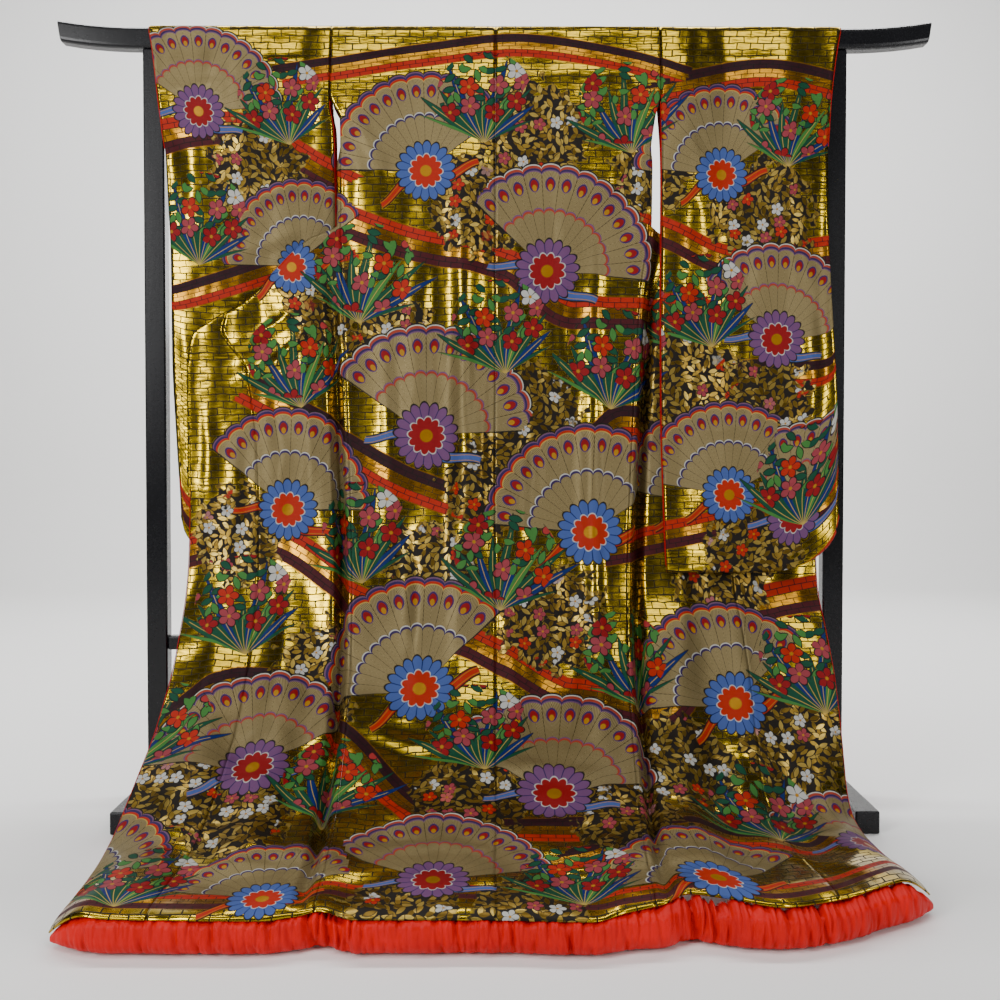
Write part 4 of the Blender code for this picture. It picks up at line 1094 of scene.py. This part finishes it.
def weave_ground(weaver, uv):
    """Gold lame with a hand-drawn brick lattice."""
    tree = weaver.tree
    u, v, _ = weaver.split(uv)
    wander = weaver.noise(uv, 34.0, 1.0)
    bent = weaver.join(u + (wander - 0.5) * 0.010, v + (wander - 0.5) * 0.006)
    brick = tree.nodes.new("ShaderNodeTexBrick")
    tree.links.new(bent, brick.inputs["Vector"])
    for name, value in (
        ("Color1", (0.45, 0.305, 0.014, 1.0)), ("Color2", (0.34, 0.224, 0.009, 1.0)),
        ("Mortar", (0.006, 0.004, 0.001, 1.0)), ("Scale", 1.0), ("Mortar Size", 0.00125),
        ("Mortar Smooth", 0.25), ("Brick Width", 0.027), ("Row Height", 0.0128),
    ):
        brick.inputs[name].default_value = value
    weaver.colour = brick.outputs["Color"]
    lines = Reading(tree, brick.outputs["Fac"])
    weaver.metal = lines.step("MULTIPLY_ADD", -1.0, 1.0)


def weave_paths(weaver):
    """Curved paths of bricks: a dyed stripe on each side of a gold one."""
    along, aside, kind = weaver.read("path")
    inside = aside.size().below(1.0, 0.05)
    row = (aside * 3.0 + 3.0).step("FLOOR")
    joint = (along + row * 0.012).from_middle(0.024).size().below(0.030, 0.03)
    course = (aside * 3.0).from_middle(1.0).size().below(0.060, 0.05)
    upper = aside.above(0.0, 0.02)
    dyed = inside * aside.size().above(0.333, 0.02)
    kind = kind.above(0.5, 0.1)
    lower_colour = weaver.mix(kind, dye(WINE), dye(ORANGE))
    upper_colour = weaver.mix(kind, dye(ORANGE), dye(DARK_WINE))
    weaver.lay(aside.size().below(1.08, 0.05), (150, 104, 20), 0.9)
    weaver.lay(dyed, weaver.mix(upper, lower_colour, upper_colour))
    weaver.lay(inside * joint.step("MAXIMUM", course), INK)


def weave_shrubs(weaver, uv):
    """Dark shrubs of pale gold leaves with small blossoms."""
    x, y, _ = weaver.read("shrub")
    rough = weaver.noise(uv, 42.0, 1.5)
    far = (x * x + y * y).step("SQRT") + (rough - 0.5) * 1.1
    shape = far.below(0.92, 0.06)
    weaver.lay(shape, (20, 13, 5))
    for scale, shift in ((70.0, 0.0), (62.0, 0.37)):
        u, v, _ = weaver.split(uv)
        moved = weaver.join(u + shift, v + shift)
        leaf_x, leaf_y, luck, more = weaver.cells(moved, scale, 1.0)
        turn = luck * 6.28
        cos, sin = turn.step("COSINE"), turn.step("SINE")
        long = (leaf_x * cos + leaf_y * sin) * 1.55
        wide = ((leaf_y * cos - leaf_x * sin) * 3.6).size()
        leaf = long * long + wide
        weaver.lay(leaf.below(1.16, 0.10) * shape, (20, 13, 5))
        tint = weaver.pick(more, CREAM, (130, 104, 38), (96, 74, 22))
        weaver.lay(leaf.below(0.88, 0.10) * shape, tint, 0.75)
    bud_x, bud_y, luck, more = weaver.cells(uv, 32.0, 0.8)
    chosen = luck.above(0.62, 0.01) * far.below(0.74, 0.06)
    flower(weaver, bud_x, bud_y, 0.38, chosen, weaver.pick(more, WHITE, PINK, WHITE, ORANGE))


def weave_sprays(weaver):
    """Sprays of long blades with a cluster of flowers."""
    x, y, kind = weaver.read("spray")
    up = y + 0.95
    lean = x + (up * 3.0).step("SINE") * 0.05
    far = (lean * lean + up * up).step("SQRT")
    turn = lean.step("ARCTAN2", up)
    blade = (turn / 0.235 + 0.5).step("FLOOR")
    luck = (blade + kind * 7.0).chance()
    reach = luck * 0.75 + 1.0
    spent = (far / reach).step("MINIMUM", 1.0)
    half = (spent.step("MULTIPLY_ADD", -1.0, 1.0) * (spent + 0.25)) * 0.20
    side = turn.from_middle(0.235).size() * 0.235 * far
    fanned = turn.size().below(1.15, 0.02)
    shape = side.below(half + 0.012, 0.012) * fanned
    weaver.lay(shape * far.below(reach, 0.03), INK)
    colour = weaver.pick((blade + 20.0).chance(), GREEN, PALE_GREEN, DEEP_BLUE, GREEN)
    weaver.lay(side.below(half, 0.012) * fanned * far.below(reach, 0.03), colour)
    weaver.lay(side.below(0.006, 0.006) * fanned * far.below(reach * 0.8, 0.03), CREAM)
    flower_x, flower_y, luck, more = weaver.cells(weaver.join(x + kind * 9.0, y), 2.3, 0.70)
    crown = (x * x + (y - 0.05) * (y - 0.05) * 1.3).step("SQRT").below(0.92, 0.02)
    leaf_x, leaf_y, tint, which = weaver.cells(weaver.join(x + kind * 9.0, y), 5.0, 1.0)
    cos, sin = (tint * 6.28).step("COSINE"), (tint * 6.28).step("SINE")
    along = (leaf_x * cos + leaf_y * sin) * 1.45
    leaf = along * along + ((leaf_y * cos - leaf_x * sin) * 3.0).size()
    grown = crown * which.above(0.25, 0.01) * y.above(-0.30, 0.02)
    weaver.lay(leaf.below(1.10, 0.10) * grown, INK)
    weaver.lay(leaf.below(0.84, 0.10) * grown, weaver.pick(tint, PALE_GREEN, GREEN, PALE_GREEN))
    chosen = crown * luck.above(0.40, 0.01)
    flower(weaver, flower_x, flower_y, 0.43, chosen, weaver.pick(more, WHITE, RED, ORANGE, PINK, RED))


def weave_fans(weaver):
    """Large open fans with a scalloped rim, over a many-petalled flower and a ribbon."""
    x, y, kind = weaver.read("fan")
    kind = kind.above(0.5, 0.1)
    y = y + 0.42
    far = (x * x + y * y).step("SQRT")
    turn = x.step("ARCTAN2", y)
    far = far / 1.28
    pitch = 0.19
    slot = turn.from_middle(pitch)
    lobe = (slot * slot).step("MULTIPLY_ADD", -4.0, 1.0).step("MAXIMUM", 0.0).step("SQRT")
    rim = lobe.step("MULTIPLY_ADD", 0.045, 0.935)
    spread = turn.size().below(1.235, 0.006)
    into = rim - far
    outside = into.below(0.0, 0.006).step("MULTIPLY_ADD", -1.0, 1.0)
    shape = outside * spread * far.above(0.12, 0.01)
    weaver.lay(into.above(-0.014, 0.006) * turn.size().below(1.25, 0.006) * far.above(0.12, 0.01), INK)
    barb = ((far * 150.0) + slot.size() * 80.0).step("SINE")
    weaver.lay(shape, weaver.mix(barb.above(0.35, 1.1), dye(SILVER), (0.085, 0.060, 0.018, 1.0)), 0.35)
    weaver.lay(shape * slot.size().above(0.480, 0.02), (66, 54, 30), 0.4)
    for start, end, one, other in (
        (0.000, 0.012, LILAC, WHITE), (0.012, 0.036, VIOLET, SALMON), (0.036, 0.058, ORANGE, VIOLET),
        (0.058, 0.068, CREAM, LILAC), (0.400, 0.412, WHITE, LILAC), (0.412, 0.432, VIOLET, SALMON),
    ):
        ring = into.above(start, 0.005) * into.below(end, 0.005)
        weaver.lay(ring * shape, weaver.mix(kind, dye(one), dye(other)))
    drop_x = slot * pitch * far / 0.050
    drop_y = (far - 0.790) / (slot.size() * -0.02 + 0.072)
    drop = drop_x * drop_x + drop_y * drop_y
    for limit, colour in ((0.92, LILAC), (0.78, VIOLET), (0.46, RED)):
        weaver.lay(drop.below(limit, 0.08) * spread, colour)
    weaver.lay((drop + drop_y * 0.8).below(0.02, 0.08) * spread, YELLOW)
    wave = (x * 7.0).step("SINE") * 0.07
    ribbon = (y + 0.06 + wave + x.size() * 0.16).size()
    wide = x.size().step("MULTIPLY_ADD", -0.05, 0.070)
    strap = x.size().below(0.66, 0.01)
    weaver.lay(ribbon.below(wide + 0.018, 0.012) * strap, INK)
    weaver.lay(ribbon.below(wide, 0.012) * strap, weaver.mix(kind, dye(ORANGE), dye(SKY_BLUE)))
    threads = (ribbon * 26.0 + 0.2).from_middle(1.0).size().below(0.10, 0.1)
    weaver.lay(threads * ribbon.below(wide, 0.012) * strap, YELLOW)
    petal = turn.from_middle(2 * math.pi / 18)
    edge = (petal * petal).step("MULTIPLY_ADD", -0.20, 0.29)
    weaver.lay(far.below(edge + 0.016, 0.008), INK)
    bloom = weaver.mix(kind, dye(SKY_BLUE), dye(LILAC))
    weaver.lay(far.below(edge, 0.008), bloom)
    parted = far.below(edge, 0.008) * petal.size().above(0.44, 0.04)
    weaver.lay(parted, weaver.mix(kind, dye(DEEP_BLUE), dye(VIOLET)))
    inner = (turn + 0.17).from_middle(2 * math.pi / 12)
    edge = (inner * inner).step("MULTIPLY_ADD", -0.14, 0.165)
    weaver.lay(far.below(edge + 0.010, 0.008), WHITE)
    weaver.lay(far.below(edge, 0.008), weaver.mix(kind, dye(ORANGE), dye(RED)))
    weaver.lay(far.below(0.055, 0.01), YELLOW, 0.5)


def new_material(name):
    material = bpy.data.materials.new(name)
    material.use_nodes = True
    tree = material.node_tree
    shader = next(n for n in tree.nodes if n.type == "BSDF_PRINCIPLED")
    return material, tree, shader


def object_place(tree, stretch):
    """Object coordinates stretched by a Mapping node."""
    place = tree.nodes.new("ShaderNodeTexCoord")
    mapping = tree.nodes.new("ShaderNodeMapping")
    mapping.inputs["Scale"].default_value = stretch
    tree.links.new(place.outputs["Object"], mapping.inputs["Vector"])
    return mapping.outputs[0]


def bump(tree, height, strength, distance, under=None):
    node = tree.nodes.new("ShaderNodeBump")
    node.inputs["Strength"].default_value = strength
    node.inputs["Distance"].default_value = distance
    tree.links.new(height.socket, node.inputs["Height"])
    if under is not None:
        tree.links.new(under, node.inputs["Normal"])
    return node.outputs[0]


def brocade():
    """The gold brocade, woven once and shared by every panel."""
    if "gold brocade" in bpy.data.materials:
        return bpy.data.materials["gold brocade"]
    material, tree, shader = new_material("gold brocade")
    weaver = Weaver(tree)
    cut = tree.nodes.new("ShaderNodeUVMap")
    uv = cut.outputs[0]
    weave_ground(weaver, uv)
    weave_paths(weaver)
    weave_shrubs(weaver, uv)
    weave_fans(weaver)
    weave_sprays(weaver)
    tree.links.new(weaver.colour, shader.inputs["Base Color"])
    tree.links.new(weaver.metal.socket, shader.inputs["Metallic"])
    broad = weaver.noise(object_place(tree, (10.0, 10.0, 2.4)), 1.0, 0.5)
    soft = weaver.noise(object_place(tree, (24.0, 24.0, 12.0)), 1.0, 1.0)
    weft = weaver.noise(object_place(tree, (60.0, 60.0, 240.0)), 1.0, 0.0)
    roughness = weaver.metal.step("MULTIPLY_ADD", -0.42, 0.66) + (weft - 0.5) * 0.10
    tree.links.new(roughness.socket, shader.inputs["Roughness"])
    under = bump(tree, broad, 0.90, 0.056)
    under = bump(tree, soft, 0.36, 0.012, under)
    tree.links.new(bump(tree, weft, 0.24, 0.0012, under), shader.inputs["Normal"])
    shader.inputs["Specular IOR Level"].default_value = 0.20
    return material


def silk(name, colour, roughness):
    """A plain dyed silk with fine threads and small wrinkles, made once."""
    if name in bpy.data.materials:
        return bpy.data.materials[name]
    material, tree, shader = new_material(name)
    weaver = Weaver(tree)
    shade = weaver.noise(object_place(tree, (14.0, 14.0, 14.0)), 1.0, 3.0)
    deep = tuple(c * 0.72 for c in colour)
    mixed = weaver.mix(shade.above(0.5, 0.5), (*deep, 1.0), (*colour, 1.0))
    tree.links.new(mixed, shader.inputs["Base Color"])
    threads = weaver.noise(object_place(tree, (1300.0, 300.0, 300.0)), 1.0, 1.0)
    tree.links.new((threads * 0.16 + (roughness - 0.08)).socket, shader.inputs["Roughness"])
    wrinkle = weaver.noise(object_place(tree, (120.0, 60.0, 60.0)), 1.0, 2.0)
    under = bump(tree, wrinkle, 0.25, 0.002)
    tree.links.new(bump(tree, threads, 0.12, 0.0004, under), shader.inputs["Normal"])
    shader.inputs["Specular IOR Level"].default_value = 0.18
    return material


def lining_silk():
    return silk("vermilion lining", (0.40, 0.0, 0.0), 0.62)


def hem_silk():
    return silk("vermilion hem silk", (0.60, 0.0, 0.0), 0.50)


def black_lacquer():
    """Black lacquer with a thin coat of dust and faint brush marks."""
    material, tree, shader = new_material("black lacquer")
    weaver = Weaver(tree)
    cloudy = weaver.noise(object_place(tree, (9.0, 9.0, 3.0)), 1.0, 3.0)
    colour = weaver.mix(cloudy, (0.0015, 0.0015, 0.002, 1.0), (0.005, 0.005, 0.007, 1.0))
    tree.links.new(colour, shader.inputs["Base Color"])
    dust = weaver.noise(object_place(tree, (240.0, 240.0, 240.0)), 1.0, 2.0)
    tree.links.new((dust * 0.08 + cloudy * 0.10 + 0.18).socket, shader.inputs["Roughness"])
    shader.inputs["Specular IOR Level"].default_value = 0.22
    brushed = weaver.noise(object_place(tree, (60.0, 60.0, 8.0)), 1.0, 2.0)
    tree.links.new(bump(tree, brushed, 0.08, 0.001), shader.inputs["Normal"])
    shader.inputs["Coat Weight"].default_value = 0.15
    shader.inputs["Coat Roughness"].default_value = 0.16
    return material


class RobeSettings(bpy.types.PropertyGroup):
    step: FloatProperty(
        name="Cloth Step", description="Spacing of the points of the cloth", default=0.006, unit="LENGTH"
    )
    wall: FloatProperty(
        name="Thickness", description="Brocade, padding and lining together", default=WALL, unit="LENGTH"
    )
    seam_dip: FloatProperty(
        name="Seam Dip", description="How far the centre seam pulls the cloth in", default=0.0008,
        unit="LENGTH",
    )
    edge_radius: FloatProperty(
        name="Edge Roll", description="Radius of the rolled silk edges", default=0.0012, unit="LENGTH"
    )
    hem_columns: IntProperty(
        name="Hem Detail", description="Rings along the padded hem", default=900, min=100, max=1400
    )


class StageSettings(bpy.types.PropertyGroup):
    backdrop: FloatVectorProperty(
        name="Backdrop", description="Colour of the wall and floor", default=(0.90, 0.895, 0.88),
        subtype="COLOR",
    )
    key_power: FloatProperty(
        name="Studio Light", description="Power that every light is a share of", default=55.0, unit="POWER"
    )


def robe():
    return bpy.context.scene.robe_settings


class UCHIKAKE_OT_back(bpy.types.Operator):
    """Hang the two back panels"""

    bl_idname = "uchikake.back"
    bl_label = "Hang Back Panels"

    def execute(self, context):
        for side, word in SIDES:
            make_back(side, word, robe())
        return {"FINISHED"}


class UCHIKAKE_OT_fronts(bpy.types.Operator):
    """Hang the fronts with their okumi panels and spread them at the sides"""

    bl_idname = "uchikake.fronts"
    bl_label = "Hang Fronts"

    def execute(self, context):
        for side, word in SIDES:
            make_front(side, word, robe())
            make_okumi(side, word, robe())
        return {"FINISHED"}


class UCHIKAKE_OT_collar(bpy.types.Operator):
    """Sew the collar round the neck and down both fronts"""

    bl_idname = "uchikake.collar"
    bl_label = "Sew Collar"

    def execute(self, context):
        for side, word in SIDES:
            make_side_collar(side, word, robe())
        make_neck_collar(robe())
        return {"FINISHED"}


class UCHIKAKE_OT_sleeves(bpy.types.Operator):
    """Fold the sleeves over the bar and sew their bottoms"""

    bl_idname = "uchikake.sleeves"
    bl_label = "Hang Sleeves"

    def execute(self, context):
        for side, word in SIDES:
            make_sleeve(side, word, robe())
        return {"FINISHED"}


class UCHIKAKE_OT_hem(bpy.types.Operator):
    """Roll, gather and point the padded hem"""

    bl_idname = "uchikake.hem"
    bl_label = "Roll Padded Hem"

    def execute(self, context):
        make_hem_roll(robe())
        return {"FINISHED"}


class UCHIKAKE_OT_stand(bpy.types.Operator):
    """Lacquer the stand"""

    bl_idname = "uchikake.stand"
    bl_label = "Lacquer Stand"

    def execute(self, context):
        lacquer = black_lacquer()
        for name, node in NODES.items():
            if name.startswith("stand_"):
                node.data.materials.clear()
                node.data.materials.append(lacquer)
        return {"FINISHED"}


# The studio: a floor that curves up into a wall behind the stand
FLOOR_WIDE, FLOOR_LONG, FLOOR_MIDDLE, FLOOR_HIGH = 10.0, 6.9, -0.15, -0.0005
CURVE_STEPS, CURVE_STEP, WALL_HIGH = 8, 0.11, 3.6
AIR_COLOUR, AIR_LIGHT, FAR_LIGHT = (0.86, 0.90, 1.0, 1.0), 0.035, 0.62
# Its lights: (name, place, what it is aimed at, width and height, share of the power)
ROBE_MIDDLE = (0.0, 0.0, 0.75)
LIGHTS = (
    ("key light", (-2.1, -2.3, 1.6), ROBE_MIDDLE, (0.7, 1.5), 1.30),
    ("fill light", (2.3, -2.4, 1.3), ROBE_MIDDLE, (0.6, 1.4), 0.66),
    ("top light", (0.0, -1.7, 3.0), (0.0, -0.9, 0.0), (3.0, 0.8), 0.80),
    ("wall light", (0.0, 0.9, 3.2), (0.0, 3.6, 0.7), (5.4, 0.8), 4.9),
    ("back light", (0.5, 3.1, 1.9), ROBE_MIDDLE, (1.8, 1.4), 0.45),
)
# Its camera: distance from the bar, height, turns in degrees, lens and upward shift of the frame
CAMERA_AWAY, CAMERA_HIGH, CAMERA_TILT, CAMERA_TURN = 2.10, 0.67, -1.30, -0.25
CAMERA_LENS, CAMERA_SHIFT = 39.03, -0.024


def area_light(name, place, aim, size, power):
    """A rectangular light that faces a point and isn't seen itself."""
    bpy.ops.object.light_add(type="AREA", location=place)
    light = bpy.context.object
    light.name = name
    light.data.shape = "RECTANGLE"
    light.data.size, light.data.size_y = size
    light.data.energy = power
    light.visible_camera = False
    away = [a - b for a, b in zip(place, aim)]
    flat = math.hypot(away[0], away[1])
    light.rotation_euler = (math.atan2(flat, away[2]), 0.0, math.atan2(away[0], -away[1]))


class UCHIKAKE_OT_stage(bpy.types.Operator):
    """Set the wall, the floor, the lights and the camera"""

    bl_idname = "uchikake.stage"
    bl_label = "Set Stage"

    def execute(self, context):
        settings = context.scene.stage_settings
        bpy.ops.object.select_all(action="DESELECT")
        bpy.ops.mesh.primitive_plane_add(size=1.0)
        sweep = bpy.context.object
        sweep.name = "studio_sweep"
        sweep.scale = (FLOOR_WIDE, FLOOR_LONG, 1.0)
        sweep.location = (0.0, FLOOR_MIDDLE, FLOOR_HIGH)
        bpy.ops.object.transform_apply(location=True, rotation=False, scale=True)
        bpy.ops.object.mode_set(mode="EDIT")
        bpy.ops.mesh.select_mode(type="EDGE")
        bpy.ops.mesh.select_all(action="DESELECT")
        bpy.ops.object.mode_set(mode="OBJECT")
        corners = sweep.data.vertices
        for edge in sweep.data.edges:
            edge.select = all(corners[i].co.y > 3.0 for i in edge.vertices)
        bpy.ops.object.mode_set(mode="EDIT")
        for k in range(CURVE_STEPS):
            turn = math.radians(90 / CURVE_STEPS * (k + 0.5))
            move = (0.0, CURVE_STEP * math.cos(turn), CURVE_STEP * math.sin(turn))
            bpy.ops.mesh.extrude_region_move(TRANSFORM_OT_translate={"value": move})
        bpy.ops.mesh.extrude_region_move(TRANSFORM_OT_translate={"value": (0.0, 0.0, WALL_HIGH)})
        bpy.ops.object.mode_set(mode="OBJECT")
        bpy.ops.object.shade_smooth()
        material, tree, shader = new_material("studio paper")
        weaver = Weaver(tree)
        cloudy = weaver.noise(object_place(tree, (0.8, 0.8, 0.8)), 1.0, 2.0)
        pale = (*settings.backdrop, 1.0)
        duller = (*[c * 0.94 for c in settings.backdrop], 1.0)
        tree.links.new(weaver.mix(cloudy, duller, pale), shader.inputs["Base Color"])
        shader.inputs["Roughness"].default_value = 0.85
        sweep.data.materials.append(material)

        world = bpy.data.worlds.new("studio air")
        context.scene.world = world
        world.use_nodes = True
        nodes, links = world.node_tree.nodes, world.node_tree.links
        air = next(n for n in nodes if n.type == "BACKGROUND")
        air.inputs["Color"].default_value = AIR_COLOUR
        air.inputs["Strength"].default_value = AIR_LIGHT
        far_wall = nodes.new("ShaderNodeBackground")
        far_wall.inputs["Color"].default_value = (*settings.backdrop, 1.0)
        far_wall.inputs["Strength"].default_value = FAR_LIGHT
        path, seen = nodes.new("ShaderNodeLightPath"), nodes.new("ShaderNodeMixShader")
        links.new(path.outputs["Is Camera Ray"], seen.inputs[0])
        links.new(air.outputs[0], seen.inputs[1])
        links.new(far_wall.outputs[0], seen.inputs[2])
        links.new(seen.outputs[0], next(n for n in nodes if n.type == "OUTPUT_WORLD").inputs[0])
        for name, place, aim, size, share in LIGHTS:
            area_light(name, place, aim, size, settings.key_power * share)

        bpy.ops.object.camera_add(location=(0.0, BAR_Y - CAMERA_AWAY, CAMERA_HIGH))
        camera = bpy.context.object
        camera.name = "photo camera"
        camera.rotation_euler = (math.radians(90 + CAMERA_TILT), 0.0, math.radians(CAMERA_TURN))
        camera.data.sensor_width = 36.0
        camera.data.lens = CAMERA_LENS
        camera.data.shift_y = CAMERA_SHIFT
        camera.data.dof.use_dof = False
        context.scene.camera = camera
        return {"FINISHED"}


class UCHIKAKE_PT_panel(bpy.types.Panel):
    """The sizes of the robe and the steps that build it"""

    bl_idname = "UCHIKAKE_PT_panel"
    bl_label = "Uchikake"
    bl_space_type = "VIEW_3D"
    bl_region_type = "UI"
    bl_category = "Uchikake"

    def draw(self, context):
        layout = self.layout
        for group in (context.scene.robe_settings, context.scene.stage_settings):
            for name in group.__annotations__:
                layout.prop(group, name)
        for step in STEPS:
            layout.operator(step.bl_idname)


STEPS = (
    UCHIKAKE_OT_stage, UCHIKAKE_OT_back, UCHIKAKE_OT_fronts, UCHIKAKE_OT_collar, UCHIKAKE_OT_sleeves,
    UCHIKAKE_OT_hem, UCHIKAKE_OT_stand,
)
CLASSES = (RobeSettings, StageSettings, *STEPS, UCHIKAKE_PT_panel)


def register():
    for cls in CLASSES:
        bpy.utils.register_class(cls)
    bpy.types.Scene.robe_settings = PointerProperty(type=RobeSettings)
    bpy.types.Scene.stage_settings = PointerProperty(type=StageSettings)


def unregister():
    del bpy.types.Scene.stage_settings
    del bpy.types.Scene.robe_settings
    for cls in reversed(CLASSES):
        bpy.utils.unregister_class(cls)


def main():
    register()
    bpy.ops.uchikake.stage()
    bpy.ops.uchikake.back()
    bpy.ops.uchikake.fronts()
    bpy.ops.uchikake.collar()
    bpy.ops.uchikake.sleeves()
    bpy.ops.uchikake.hem()
    bpy.ops.uchikake.stand()


if __name__ == "__main__":
    main()
